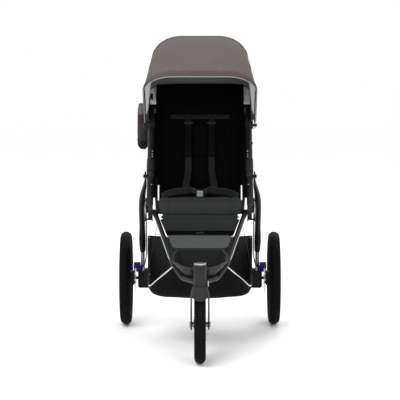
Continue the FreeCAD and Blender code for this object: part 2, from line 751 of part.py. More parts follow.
def rear_leg():
    """Oval leg: a flat blade at its pivot, bowed outwards, bored for the suspension rod."""
    body = loft([leg_section(*station) for station in LEG_STATIONS])
    lug_outline = []
    for along, front in ((60, 5), (72, 66), (92, 66), (108, 5)):
        point = B + LEG * along + LEG_FRONT * front
        lug_outline.append((point.y, point.z))
    lug = side_plate(lug_outline, 218.2, 222.2)
    body = body.fuse(lug)
    bottom = at_x(B + LEG * (LEG_LENGTH + 5), LEG_X)
    body = body.cut(rod(at_x(B + LEG * 120, LEG_X), bottom, ROD_RADIUS + RUNNING_FIT))
    return body.cut(pin(B, 200, 240, 6 + RUNNING_FIT)).fuse(link_pin())


def link_pin():
    """Pin on the leg's lug that the drag link hangs on."""
    return pin(LINK_E, LINK_X - 0.4, 222.2, LINK_PIN)


def drag_link():
    """Flat link from the front frame to the rear leg; its leg end has a wide eye."""
    end = at_x(LINK_E, 0)
    run = (LINK_E - LINK_C).normalize()
    across = V(0, -run.z, run.y) * 6
    corners = [LINK_C + across, end + across, end - across, LINK_C - across]
    bar = side_plate([(p.y, p.z) for p in corners], LINK_X, LINK_X + LINK_THICK)
    bar = bar.fuse(pin(LINK_C, LINK_X, LINK_X + LINK_THICK, 9))
    bar = bar.fuse(pin(LINK_E, LINK_X, LINK_X + LINK_THICK, LINK_PIN + OPEN_PIVOT_GAP + 4))
    bar = bar.cut(pin(LINK_C, 200, 230, LINK_PIN + RUNNING_FIT))
    return bar.cut(pin(LINK_E, 200, 230, LINK_PIN + OPEN_PIVOT_GAP))


def shock_rod():
    """Suspension rod between the axle block and the leg."""
    top = at_x(B + LEG * (LEG_LENGTH - 60), LEG_X)
    return rod(top, at_x(REAR_AXLE - LEG * 30, LEG_X), ROD_RADIUS)


def axle_block():
    """Rounded block that holds the beam, the rod and the wheel's spindle."""
    half = BLOCK_HEIGHT / 2
    low = V(BLOCK_X[0], REAR_AXLE_Y - 24, REAR_AXLE.z - half)
    high = V(BLOCK_X[1], REAR_AXLE_Y + 24, REAR_AXLE.z + half)
    body = block(low, high, 9).cut(shock_rod())
    tang_low = V(BLOCK_X[1] - 12, REAR_AXLE_Y - 44, REAR_AXLE.z + 22)
    tang = block(tang_low, tang_low + V(7, 34, 18))
    spindle = pin(REAR_AXLE, BLOCK_X[1] - 2, HUB_OUTER_X - 10, SPINDLE_RADIUS)
    return body.multiFuse([tang, spindle]).cut(shock_rod())


def brake_caliper():
    """Caliper over the disc's upper front edge, bolted to the block's tang."""
    away = side_vector(128)
    centre = REAR_AXLE + away * 66
    across = side_vector(38)
    corners = []
    for along, side in ((-16, -13), (14, -14), (14, 14), (-16, 13)):
        corners.append(centre + away * along + across * side)
    outline = [(p.y, p.z) for p in corners]
    body = side_plate(outline, 243.5, 271)
    slot = []
    for along, side in ((-40, -40), (8, -40), (8, 40), (-40, 40)):
        slot.append(centre + away * along + across * side)
    gap = side_plate([(p.y, p.z) for p in slot], DISC_X - 2.6, DISC_X + 2.6)
    relief = side_plate([(p.y, p.z) for p in slot], DISC_X + 7, 290)
    body = body.cut(gap).cut(relief)
    piston = pin(centre - away * 4, 237, 244.5, 10)
    clearance = rod(at_x(B, LEG_X), at_x(REAR_AXLE, LEG_X), ROD_RADIUS + 0.5)
    return body.fuse(piston).cut(axle_block()).cut(clearance)


def axle_beam():
    """Beam between the two blocks, with two welded ears for the parking brake pedal."""
    pieces = [ring(REAR_AXLE, -BLOCK_X[0], BLOCK_X[0], BEAM_RADIUS, BEAM_RADIUS - TUBE_WALL)]
    for x in (-32, 27):
        ear = side_plate([(330, 198), (352, 186), (367, 214), (352, 220)], x, x + 5)
        pieces.append(ear.cut(pin(REAR_AXLE, -40, 40, BEAM_RADIUS - 0.5)))
    pieces.append(pin(PEDAL_PIVOT, -32, 32, 3))
    return pieces[0].multiFuse(pieces[1:])


def parking_pedal():
    """Foot pedal behind the rear axle."""
    outline = [(PEDAL_PIVOT.y - 6, PEDAL_PIVOT.z + 5), (PEDAL_PIVOT.y + 58, PEDAL_PIVOT.z + 15)]
    outline += [(PEDAL_PIVOT.y + 60, PEDAL_PIVOT.z + 9), (PEDAL_PIVOT.y - 4, PEDAL_PIVOT.z - 5)]
    plate = side_plate(outline, -26.5, 26.5)
    pad_low = V(-34, PEDAL_PIVOT.y + 22, PEDAL_PIVOT.z + 6)
    pad = block(pad_low, pad_low + V(68, 42, 12), 5)
    return plate.fuse(pad).cut(pin(PEDAL_PIVOT, -40, 40, 3 + RUNNING_FIT))


# ---------------------------------------------------------------- brake cables

def cable_loop():
    """Slack loop of brake cable from the side tube across to the leg."""
    start = V(200, A.y + 44, A.z + 16)
    end = at_x(B + LEG * 148, CABLE_X) - LEG_FRONT * 4
    points = [start, V(206, A.y + 66, A.z - 6), V(214, A.y + 108, A.z - 16)]
    points += [V(218, A.y + 150, A.z + 4), end - LEG * 14 - LEG_FRONT * 3, end]
    return cable("brake_cable_loops", points)


def cable_run():
    start = at_x(B + LEG * 148, CABLE_X) - LEG_FRONT * 4
    return rod(start, start + LEG * 176, CABLE_RADIUS)


def cable_tail():
    start = at_x(B + LEG * 324, CABLE_X) - LEG_FRONT * 4
    end = REAR_AXLE + side_vector(128) * 62
    points = [start, start + LEG * 24, V(222, end.y - 6, end.z + 24)]
    points += [V(232, end.y - 3, end.z + 3), at_x(end, 237)]
    return cable("brake_cable_tails", points).cut(brake_caliper())


# ---------------------------------------------------------------- all pieces

def all_parts():
    """Every sub-part by name."""
    parts = {
        "front_rail_left": mirrored(hollow_rail()),
        "front_rail_right": hollow_rail(),
        "hinge_plates": both(hinge_plate()),
        "seat_cross_tube": seat_cross_tube(),
        "tray_carrier": keel().cut(both(front_rail())),
        "head_tube": head_tube().cut(both(front_rail())),
        "head_cap": head_cap(),
        "swivel_lock_lever": swivel_lock_lever(),
        "fork": fork(),
        "front_axle": front_axle(),
        "front_tyre": tyre(FRONT_AXLE, 0, FRONT_WHEEL_RADIUS, FRONT_TYRE_HALF, 38),
        "footwell": footwell(),
        "front_apron": apron(),
        "calf_panel": calf_panel(),
        "seat_base": seat_base(),
        "buckle": buckle(),
        "buckle_button": buckle_button(),
        "basket": basket(),
        "upper_tube_left": mirrored(upper_tube()),
        "upper_tube_right": upper_tube(),
        "hinge_discs": both(hinge_disc()),
        "tube_sleeves": both(tube_sleeve()),
        "leg_pivots": both(leg_pivot()),
        "canopy_mounts": both(canopy_mount()),
        "tube_end_collars": both(tube_end_collar()),
        "upper_cross_bar": upper_cross_bar(),
        "seat_hinge_rod": seat_hinge_rod(),
        "side_pouch": side_pouch(),
        "canopy_rear_panel": canopy_rear_panel(),
        "height_button_left": height_button(-1),
        "height_button_right": height_button(1),
        "handlebar": handlebar(),
        "handlebar_grip": handlebar_grip(),
        "lever_bracket": lever_bracket(),
        "brake_lever": brake_lever(),
        "seat_back": seat_back(),
        "seat_back_frame": seat_back_frame(),
        "harness": harness(),
        "canopy_main_bow": canopy_bow(MAIN_HOOD, MAIN_BOW_ANGLE, 2.4, 0),
        "canopy_main_hood": hood(MAIN_HOOD, 0, CANOPY_SKIN, MAIN_BOW_ANGLE, MAIN_HOOD_END),
        "canopy_front_bow": canopy_bow(FRONT_HOOD, FRONT_BOW_ANGLE - 2.4, 2.4, 0),
        "canopy_front_hood": hood(FRONT_HOOD, 0, CANOPY_SKIN, HOOD_JOIN_ANGLE, FRONT_BOW_ANGLE),
        "rear_leg_left": mirrored(rear_leg()),
        "rear_leg_right": rear_leg(),
        "drag_links": both(drag_link()),
        "brake_cable_loops": both(cable_loop()),
        "brake_cable_runs": both(cable_run()),
        "brake_cable_tails": both(cable_tail()),
        "shock_rods": both(shock_rod()),
        "axle_blocks": both(axle_block()),
        "axle_beam": axle_beam(),
        "brake_calipers": both(brake_caliper()),
        "parking_pedal": parking_pedal(),
    }
    tyre_front = parts["front_tyre"]
    parts["front_wheel"] = front_wheel().cut(tyre_front)
    for name, shape in rear_wheel_parts().items():
        parts["rear_" + name + "_right"] = shape
        parts["rear_" + name + "_left"] = mirrored(shape)
    return parts


def main():
    os.makedirs("parts", exist_ok=True)
    for name, shape in all_parts().items():
        if not shape.isValid() or shape.Volume <= 0:
            print("check this shape:", name, shape.isValid(), shape.Volume)
        shape.exportStep("parts/" + name + ".step")


main()
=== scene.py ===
import json
import math

import bmesh
import bpy
import numpy as np
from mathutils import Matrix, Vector, noise


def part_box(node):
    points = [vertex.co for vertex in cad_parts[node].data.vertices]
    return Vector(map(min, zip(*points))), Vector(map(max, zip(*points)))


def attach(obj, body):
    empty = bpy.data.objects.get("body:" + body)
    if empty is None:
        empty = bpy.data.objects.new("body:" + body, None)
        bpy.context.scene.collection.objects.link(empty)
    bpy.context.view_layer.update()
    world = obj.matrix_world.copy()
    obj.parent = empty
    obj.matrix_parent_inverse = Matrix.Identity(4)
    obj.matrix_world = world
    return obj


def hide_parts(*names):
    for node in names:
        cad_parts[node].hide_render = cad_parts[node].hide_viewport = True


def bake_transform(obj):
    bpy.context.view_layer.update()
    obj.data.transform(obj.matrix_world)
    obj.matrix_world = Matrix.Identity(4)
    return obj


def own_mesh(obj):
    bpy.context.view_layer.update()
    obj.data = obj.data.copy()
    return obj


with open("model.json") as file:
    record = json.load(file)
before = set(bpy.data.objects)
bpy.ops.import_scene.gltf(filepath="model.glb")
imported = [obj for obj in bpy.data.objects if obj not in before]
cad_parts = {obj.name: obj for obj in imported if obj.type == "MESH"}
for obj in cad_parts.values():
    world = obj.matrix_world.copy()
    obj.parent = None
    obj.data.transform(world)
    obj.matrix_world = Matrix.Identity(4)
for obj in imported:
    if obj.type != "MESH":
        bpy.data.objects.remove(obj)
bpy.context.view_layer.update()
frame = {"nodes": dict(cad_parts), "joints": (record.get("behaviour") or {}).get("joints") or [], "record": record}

# Jogging stroller. X is across, -Y is the front, +Z is up, in metres.
# Angles in the side view are counted from +Y (rear) towards +Z (up), in degrees.

JOINTS = {joint["name"]: joint for joint in frame["joints"]}
SIDES = ((-1, "left"), (1, "right"))


def joint_place(name):
    return Vector(JOINTS[name]["pos_m"])


FOLD = joint_place("main_fold")
LEG_PIVOT = joint_place("leg_fold")
HIP = joint_place("recline")
HOOD_PIVOT = joint_place("canopy_tilt")
REAR_AXLE = joint_place("right_wheel_spin")
TUBE = Vector(JOINTS["handle_height"]["axis"])
LEG = -Vector(JOINTS["suspension"]["axis"])
LEG_FRONT = Vector((0, LEG.z, -LEG.y))
TUBE_X = (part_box("upper_tube_right")[0].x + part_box("upper_tube_right")[1].x) / 2
BACK_ANGLE = 66.8
BACK = Vector((0, math.cos(math.radians(BACK_ANGLE)), math.sin(math.radians(BACK_ANGLE))))
BACK_REAR = Vector((0, BACK.z, -BACK.y))


def side_vector(angle):
    return Vector((0, math.cos(math.radians(angle)), math.sin(math.radians(angle))))


def at_x(point, x):
    return Vector((x, point.y, point.z))


def mix(a, b, share):
    return a + (b - a) * share


def round_angles(count):
    """Evenly spaced angles of one full turn."""
    return [math.tau * step / count for step in range(count)]


def smooth(share):
    share = max(0.0, min(1.0, share))
    return share * share * (3 - 2 * share)


# ---------------------------------------------------------------- node helpers

class Nodes:
    """A short way to write a material's node tree."""

    def __init__(self, name):
        self.material = bpy.data.materials.new(name)
        self.material.use_nodes = True
        self.tree = self.material.node_tree
        self.shader = self.tree.nodes["Principled BSDF"]
        self.place = self.add("ShaderNodeTexCoord").outputs["Object"]

    def add(self, kind, **settings):
        node = self.tree.nodes.new(kind)
        for key, value in settings.items():
            setattr(node, key, value)
        return node

    def link(self, out, into):
        self.tree.links.new(out, into)

    def stretched(self, scale):
        node = self.add("ShaderNodeMapping")
        node.inputs["Scale"].default_value = scale
        self.link(self.place, node.inputs["Vector"])
        return node.outputs["Vector"]

    def noise(self, scale, detail=2.0, source=None, roughness=0.5):
        node = self.add("ShaderNodeTexNoise")
        node.inputs["Scale"].default_value = scale
        node.inputs["Detail"].default_value = detail
        node.inputs["Roughness"].default_value = roughness
        self.link(source or self.place, node.inputs["Vector"])
        return node.outputs["Fac"]

    def wave(self, direction, pitch, distortion=0.6):
        """Bands across one axis, with the given distance between them."""
        node = self.add("ShaderNodeTexWave", wave_type="BANDS", bands_direction=direction)
        node.inputs["Scale"].default_value = 0.314 / pitch
        node.inputs["Distortion"].default_value = distortion
        node.inputs["Detail"].default_value = 0.0
        self.link(self.place, node.inputs["Vector"])
        return node.outputs["Fac"]

    def math(self, operation, a, b):
        node = self.add("ShaderNodeMath", operation=operation)
        for socket, value in zip(node.inputs, (a, b)):
            if isinstance(value, float):
                socket.default_value = value
            else:
                self.link(value, socket)
        return node.outputs[0]

    def ramp(self, factor, stops):
        node = self.add("ShaderNodeValToRGB")
        while len(node.color_ramp.elements) < len(stops):
            node.color_ramp.elements.new(0.5)
        for element, (place, colour) in zip(node.color_ramp.elements, stops):
            element.position = place
            element.color = (*colour, 1.0)
        self.link(factor, node.inputs["Fac"])
        return node.outputs["Color"]

    def blend(self, factor, a, b, how="MIX"):
        node = self.add("ShaderNodeMix", data_type="RGBA", blend_type=how)
        for socket, value in ((node.inputs[0], factor), (node.inputs[6], a), (node.inputs[7], b)):
            if isinstance(value, float):
                socket.default_value = value
            elif isinstance(value, tuple):
                socket.default_value = (*value, 1.0)
            else:
                self.link(value, socket)
        return node.outputs[2]

    def bump(self, height, distance, strength=1.0, under=None):
        node = self.add("ShaderNodeBump")
        node.inputs["Distance"].default_value = distance
        node.inputs["Strength"].default_value = strength
        self.link(height, node.inputs["Height"])
        if under is not None:
            self.link(under, node.inputs["Normal"])
        return node.outputs["Normal"]

    def finish(self, colour, normal=None, rough=0.5, metal=0.0, **constants):
        self.link(colour, self.shader.inputs["Base Color"])
        if normal is not None:
            self.link(normal, self.shader.inputs["Normal"])
        if isinstance(rough, float):
            self.shader.inputs["Roughness"].default_value = rough
        else:
            self.link(rough, self.shader.inputs["Roughness"])
        self.shader.inputs["Metallic"].default_value = metal
        for key, value in constants.items():
            self.shader.inputs[key.replace("_", " ")].default_value = value
        return self.material


def shade(colour, factor):
    return tuple(max(0.0, min(1.0, channel * factor)) for channel in colour)


def ranged(nodes, factor, low, high):
    """A 0 to 1 value spread between two others, for roughness."""
    return nodes.math("ADD", nodes.math("MULTIPLY", factor, high - low), low)


def cloth(name, colour, fleck, pitch=0.0016, heather=0.5, rough=0.9, depth=0.0004, sheen=0.02, gloss=0.1):
    """Woven cloth: two thread directions, flecks of a second yarn, and soft uneven shading."""
    n = Nodes(name)
    threads = n.math("MAXIMUM", n.math("MAXIMUM", n.wave("X", pitch), n.wave("Z", pitch)), n.wave("Y", pitch))
    flecks = n.noise(520, 3.0, n.stretched((0.35, 1.0, 1.0)), 0.7)
    base = n.ramp(flecks, ((0.5 - heather * 0.3, shade(colour, 0.86)), (0.5 + heather * 0.3, fleck)))
    uneven = n.ramp(n.noise(7, 3.0), ((0.3, (0.86, 0.86, 0.86)), (0.7, (1.0, 1.0, 1.0))))
    base = n.blend(1.0, base, uneven, "MULTIPLY")
    base = n.blend(n.math("MULTIPLY", threads, 0.22), base, shade(colour, 1.25))
    normal = n.bump(n.noise(45, 4.0), 0.0012, 0.35)
    normal = n.bump(threads, depth, 0.8, normal)
    return n.finish(base, normal, rough, Sheen_Weight=sheen, Sheen_Roughness=0.6, Specular_IOR_Level=gloss)


def moulded(name, colour, rough=0.5, grain=0.00025):
    """Moulded plastic: fine pitted grain, a little mottling, and paler worn edges."""
    n = Nodes(name)
    pits = n.add("ShaderNodeTexVoronoi")
    pits.inputs["Scale"].default_value = 1100
    n.link(n.place, pits.inputs["Vector"])
    base = n.ramp(n.noise(60, 4.0), ((0.3, shade(colour, 0.8)), (0.7, shade(colour, 1.2))))
    edges = n.add("ShaderNodeNewGeometry").outputs["Pointiness"]
    worn = n.ramp(edges, ((0.52, (0, 0, 0)), (0.6, (1, 1, 1))))
    base = n.blend(n.math("MULTIPLY", worn, 0.35), base, shade(colour, 2.6))
    roughness = ranged(n, n.noise(25, 3.0), rough - 0.07, rough + 0.1)
    return n.finish(base, n.bump(pits.outputs["Distance"], grain, 0.5), roughness, Specular_IOR_Level=0.15)


def painted(name, colour, rough=0.34):
    """Satin paint on tube: faint orange peel, dust in the roughness, and fine pale flecks."""
    n = Nodes(name)
    base = n.ramp(n.noise(18, 4.0), ((0.3, shade(colour, 0.85)), (0.75, shade(colour, 1.2))))
    flakes = n.ramp(n.noise(2600, 1.0), ((0.62, (0, 0, 0)), (0.72, (1, 1, 1))))
    base = n.blend(n.math("MULTIPLY", flakes, 0.12), base, shade(colour, 5.0))
    roughness = ranged(n, n.noise(90, 5.0), rough - 0.08, rough + 0.12)
    return n.finish(base, n.bump(n.noise(420, 2.0), 0.00015, 0.5), roughness, Coat_Weight=0.03,
                    Coat_Roughness=0.25,
                    Specular_IOR_Level=0.14)


def metal(name, colour, rough=0.28, brushed=(60.0, 1.0, 1.0)):
    """Bare metal with fine drawn lines and a few smudges."""
    n = Nodes(name)
    lines = n.noise(220, 3.0, n.stretched(brushed))
    base = n.ramp(lines, ((0.3, shade(colour, 0.82)), (0.7, colour)))
    roughness = ranged(n, n.noise(35, 4.0), rough - 0.08, rough + 0.14)
    return n.finish(base, n.bump(lines, 0.0001, 0.4), roughness, 1.0)


def rubbery(name, colour, rough=0.75):
    """Tyre rubber: dull, with flecks of pale dust and a fine grain."""
    n = Nodes(name)
    base = n.ramp(n.noise(32, 5.0, roughness=0.65), ((0.32, shade(colour, 0.8)), (0.72, shade(colour, 1.35))))
    dust = n.ramp(n.noise(210, 3.0), ((0.55, (0, 0, 0)), (0.8, (1, 1, 1))))
    base = n.blend(n.math("MULTIPLY", dust, 0.25), base, shade(colour, 2.4))
    return n.finish(base, n.bump(n.noise(900, 3.0), 0.0003, 0.6),
                    ranged(n, n.noise(60, 3.0), rough - 0.1, rough + 0.12), Specular_IOR_Level=0.06)


def grained_leather(name, colour):
    """Leatherette: fine cells with dark creases, worn paler in places."""
    n = Nodes(name)
    cells = n.add("ShaderNodeTexVoronoi", feature="DISTANCE_TO_EDGE")
    cells.inputs["Scale"].default_value = 420
    n.link(n.place, cells.inputs["Vector"])
    creases = n.ramp(cells.outputs["Distance"], ((0.0, (0, 0, 0)), (0.12, (1, 1, 1))))
    base = n.blend(n.math("MULTIPLY", creases, 0.6), shade(colour, 0.55), shade(colour, 1.2))
    worn = n.ramp(n.noise(14, 4.0), ((0.4, (0.8, 0.8, 0.8)), (0.7, (1, 1, 1))))
    base = n.blend(1.0, base, worn, "MULTIPLY")
    return n.finish(base, n.bump(creases, 0.0004, 0.7), ranged(n, n.noise(80, 3.0), 0.42, 0.62))


def open_mesh(name, colour, behind, pitch=0.0032):
    """Knitted mesh cloth: rows of small holes that show a darker layer behind."""
    n = Nodes(name)
    cells = n.add("ShaderNodeTexVoronoi", feature="F1")
    cells.inputs["Scale"].default_value = 1.0 / pitch
    cells.inputs["Randomness"].default_value = 0.25
    n.link(n.place, cells.inputs["Vector"])
    holes = n.ramp(cells.outputs["Distance"], ((0.3, (1, 1, 1)), (0.42, (0, 0, 0))))
    base = n.blend(holes, colour, behind)
    uneven = n.ramp(n.noise(12, 3.0), ((0.3, (0.8, 0.8, 0.8)), (0.7, (1, 1, 1))))
    base = n.blend(1.0, base, uneven, "MULTIPLY")
    return n.finish(base, n.bump(holes, 0.0006, 0.5), 0.88, Sheen_Weight=0.02, Specular_IOR_Level=0.12)


def webbing(name, colour, pitch=0.0014):
    """Woven strap: slanting ribs across its width."""
    n = Nodes(name)
    ribs = n.math("MAXIMUM", n.wave("Z", pitch, 1.5), n.wave("X", pitch * 1.6, 1.5))
    base = n.ramp(ribs, ((0.2, shade(colour, 0.6)), (0.8, shade(colour, 1.3))))
    return n.finish(base, n.bump(ribs, 0.0004, 0.8), 0.7, Sheen_Weight=0.02, Specular_IOR_Level=0.12)


def pale_floor():
    """Plain pale studio floor with hardly any grain."""
    n = Nodes("floor_pale")
    base = n.ramp(n.noise(3, 3.0), ((0.3, (0.965, 0.965, 0.965)), (0.7, (0.985, 0.985, 0.985))))
    return n.finish(base, n.bump(n.noise(300, 2.0), 0.0002, 0.2), 0.7)


CANOPY_COLOUR = (0.100, 0.082, 0.080)
PAINT = {
    "frame_black": painted("frame_paint", (0.0062, 0.0066, 0.0065)),
    "fork_paint": painted("fork_paint", (0.0150, 0.0158, 0.0155), 0.5),
    "plastic_black": moulded("black_moulding", (0.009, 0.0095, 0.0095), 0.5),
    "tray_plastic": moulded("tray_moulding", (0.018, 0.0192, 0.0187), 0.46),
    # Darker copy of the tray plastic for the footwell's inside: painted shade.
    "tray_painted_shade": moulded("tray_shade_moulding", (0.005, 0.0053, 0.0052), 0.7),
    "silver": metal("satin_aluminium", (0.38, 0.385, 0.39), 0.34),
    "tyre": rubbery("tyre_rubber", (0.0024, 0.0026, 0.0026)),
    "canopy_cloth": cloth("canopy_weave", CANOPY_COLOUR, (0.138, 0.114, 0.111), 0.0015, 0.6),
    "canopy_brim": cloth("canopy_brim_weave", (0.066, 0.053, 0.053), (0.094, 0.077, 0.076), 0.0013, 0.6),
    "lining": cloth("lining_cloth", (0.088, 0.100, 0.097), (0.11, 0.124, 0.12), 0.0011, 0.8, 0.8, 0.0002),
    # Far paler copy of the lining cloth, for the canopy's side walls and the side-tube strips: painted light.
    "lining_lit_copy": cloth("lining_lit_copy_cloth", (0.84, 0.87, 0.86), (0.9, 0.92, 0.91), 0.0011, 0.8, 0.5, 0.0002,
                         0.4, 0.5),
    "edge_cord": cloth("edge_cord", (0.24, 0.245, 0.243), (0.3, 0.305, 0.303), 0.0009, 0.8, 0.6, 0.0002),
    "piping": cloth("piping_cord", (0.62, 0.63, 0.625), (0.6, 0.6, 0.6), 0.0009, 0.8, 0.6, 0.0002),
    "seat_cloth": cloth("seat_weave", (0.0055, 0.006, 0.0058), (0.009, 0.0098, 0.0095), 0.0014, 0.6),
    # Near-black copy of the seat cloth for the backrest, its side walls, gussets, skirts, flap and centre pad:
    # painted shade from the canopy.
    "seat_painted_shade": cloth("seat_shaded_weave", (0.0012, 0.0012, 0.0012), (0.002, 0.002, 0.002), 0.0014, 0.6, 0.95,
                       0.0004, 0.0, 0.03),
    # Darker copy of the seat cloth for the shoulder pads: painted shade from the canopy.
    "pad_shaded_cloth": cloth("pad_shaded_weave", (0.0022, 0.0023, 0.0023), (0.0036, 0.0037, 0.0037), 0.0014, 0.6, 0.95,
                       0.0004, 0.0, 0.05),
    # Paler copy of the seat cloth for the calf rest, which faces the light: painted light.
    "calf_lit_cloth": cloth("calf_lit_weave", (0.0105, 0.0115, 0.0112), (0.018, 0.0195, 0.019), 0.0014, 0.6),
    # Paler copy of the seat cloth: the colour of trims and bindings, and painted light on the cushion's lit front.
    "trim_and_lit_front": cloth("trim_and_lit_front_weave", (0.017, 0.0185, 0.018), (0.028, 0.030, 0.0295), 0.0013, 0.6),
    "apron_cloth": cloth("apron_coated_cloth", (0.052, 0.0575, 0.056), (0.068, 0.074, 0.072), 0.0012, 0.7,
                         0.62),
    "basket_cloth": cloth("basket_coated_cloth", (0.030, 0.032, 0.0315), (0.044, 0.047, 0.046), 0.0014, 0.6,
                          0.7),
    "basket_front": cloth("basket_front_cloth", (0.0024, 0.0025, 0.0025), (0.004, 0.0042, 0.0041), 0.0014,
                          0.6, 0.8, 0.0004, 0.0, 0.06),
    "pouch_mesh": open_mesh("pouch_mesh", (0.034, 0.028, 0.029), (0.009, 0.006, 0.007)),
    "vent_mesh": open_mesh("vent_mesh", (0.014, 0.015, 0.015), (0.004, 0.004, 0.004)),
    "webbing": webbing("harness_webbing", (0.0042, 0.0044, 0.0044)),
    "grip": grained_leather("grip_leatherette", (0.022, 0.019, 0.018)),
    "blue_anodised": metal("blue_anodised", (0.02, 0.024, 0.16), 0.38),
    "steel": metal("brushed_steel", (0.55, 0.55, 0.56), 0.3),
    "buckle_grey": moulded("buckle_grey", (0.19, 0.195, 0.195), 0.4),
    "cable_black": rubbery("cable_sheath", (0.004, 0.004, 0.004), 0.6),
    "thread": cloth("sewing_thread", (0.06, 0.06, 0.06), (0.09, 0.09, 0.09), 0.0007, 0.8, 0.6, 0.0001),
    "buckle_plastic": moulded("buckle_moulding", (0.009, 0.0095, 0.0095), 0.42),
    "floor_pale": pale_floor(),
}


# ---------------------------------------------------------------- mesh helpers

def new_object(name, mesh):
    made = bpy.data.objects.new(name, mesh)
    bpy.context.scene.collection.objects.link(made)
    return made


def mesh_piece(name, points, faces, paint):
    mesh = bpy.data.meshes.new(name)
    mesh.from_pydata([tuple(point) for point in points], [], faces)
    mesh.update()
    mesh.shade_smooth()
    mesh.materials.append(PAINT[paint])
    return new_object(name, mesh)


def grid_piece(name, rows, paint, closed=False, capped=False):
    """A surface through rows of points. A closed one joins each row's last point to its first."""
    width = len(rows[0])
    points = [point for row in rows for point in row]
    faces = []
    for row in range(len(rows) - 1):
        for step in range(width if closed else width - 1):
            after = (step + 1) % width
            low, high = row * width, (row + 1) * width
            faces.append((low + step, low + after, high + after, high + step))
    if capped:
        faces.append(tuple(reversed(range(width))))
        faces.append(tuple(range(len(points) - width, len(points))))
    made = mesh_piece(name, points, faces, paint)
    tidy_normals(made)
    return made


def tidy_normals(piece):
    work = bmesh.new()
    work.from_mesh(piece.data)
    bmesh.ops.recalc_face_normals(work, faces=work.faces)
    work.to_mesh(piece.data)
    work.free()


def apply_modifiers(piece):
    graph = bpy.context.evaluated_depsgraph_get()
    mesh = bpy.data.meshes.new_from_object(piece.evaluated_get(graph))
    piece.modifiers.clear()
    piece.data = mesh
    mesh.shade_smooth()
    return piece


def with_thickness(piece, thickness, levels=1, offset=-1.0):
    """Gives a surface its cloth thickness and softens it."""
    skin = piece.modifiers.new("thickness", "SOLIDIFY")
    skin.thickness = thickness
    skin.offset = offset
    if levels:
        soft = piece.modifiers.new("soft", "SUBSURF")
        soft.levels = soft.render_levels = levels
    return apply_modifiers(piece)


def cloth_piece(name, rows, paint, thickness):
    """Cloth through rows of points, thickened to both sides of them."""
    return with_thickness(grid_piece(name, rows, paint), thickness, 1, 0.0)


def moved(piece, change):
    """Moves every vertex by a function of its place and normal."""
    places = [vertex.co.copy() for vertex in piece.data.vertices]
    normals = [item.vector.copy() for item in piece.data.vertex_normals]
    ends = [place + change(place, normal) for place, normal in zip(places, normals)]
    piece.data.vertices.foreach_set("co", [value for end in ends for value in end])
    piece.data.update()
    return piece


def joined(name, pieces):
    """One piece made of several meshes."""
    work = bmesh.new()
    slots = []
    for piece in pieces:
        start = len(work.faces)
        work.from_mesh(piece.data)
        work.faces.ensure_lookup_table()
        for face in work.faces[start:]:
            own = piece.data.materials[face.material_index]
            if own not in slots:
                slots.append(own)
            face.material_index = slots.index(own)
        bpy.data.objects.remove(piece)
    mesh = bpy.data.meshes.new(name)
    work.to_mesh(mesh)
    work.free()
    for slot in slots:
        mesh.materials.append(slot)
    mesh.shade_smooth()
    return new_object(name, mesh)


def tube_piece(name, points, radius, paint, closed=False, order=3, turns=3):
    """A round cord or wire along a smooth spline, as a mesh."""
    curve = bpy.data.curves.new(name, "CURVE")
    curve.dimensions = "3D"
    curve.bevel_depth = radius
    curve.bevel_resolution = turns
    curve.resolution_u = 6
    curve.use_fill_caps = True
    spline = curve.splines.new("NURBS")
    spline.points.add(len(points) - 1)
    for item, point in zip(spline.points, points):
        item.co = (*point, 1.0)
    spline.order_u = order
    spline.use_cyclic_u = closed
    spline.use_endpoint_u = not closed
    holder = new_object(name + "_curve", curve)
    graph = bpy.context.evaluated_depsgraph_get()
    mesh = bpy.data.meshes.new_from_object(holder.evaluated_get(graph))
    bpy.data.objects.remove(holder)
    mesh.name = name
    mesh.materials.clear()
    mesh.materials.append(PAINT[paint])
    mesh.shade_smooth()
    return new_object(name, mesh)


def spline_through(points, count):
    """Evenly counted points on a smooth line through the given ones."""
    ends = [points[0] * 2 - points[1]] + list(points) + [points[-1] * 2 - points[-2]]
    spans = len(points) - 1
    found = []
    for step in range(count):
        where = spans * step / (count - 1)
        index = min(int(where), spans - 1)
        t = where - index
        p0, p1, p2, p3 = ends[index:index + 4]
        part = (p2 - p0) * t + (p0 * 2 - p1 * 5 + p2 * 4 - p3) * (t * t)
        found.append(p1 + (part + (p1 * 3 - p0 - p2 * 3 + p3) * (t ** 3)) * 0.5)
    return found


def strap_piece(name, points, across, width, paint="webbing", thick=0.0018, count=24):
    """Flat webbing along a smooth line. across gives its width direction at both ends."""
    line = spline_through(points, count)
    first, last = across if isinstance(across, tuple) else (across, across)
    widths = width if isinstance(width, tuple) else (width, width)
    rows = []
    for index, point in enumerate(line):
        share = index / (count - 1)
        ahead = line[min(index + 1, count - 1)] - line[max(index - 1, 0)]
        side = first.lerp(last, smooth(share)).normalized()
        side = (side - ahead.normalized() * side.dot(ahead.normalized())).normalized()
        up = side.cross(ahead.normalized())
        half = mix(widths[0], widths[1], share) / 2
        row = []
        for sign in (1, -1):
            for step in range(7):
                reach = mix(-1, 1, step / 6) * sign
                rim = 0.35 if abs(reach) > 0.99 else (1.25 if abs(reach) > 0.6 else 1.0)
                row.append(point + side * (half * reach) + up * (sign * thick / 2 * rim))
        rows.append(row)
    return grid_piece(name, rows, paint, closed=True, capped=True)


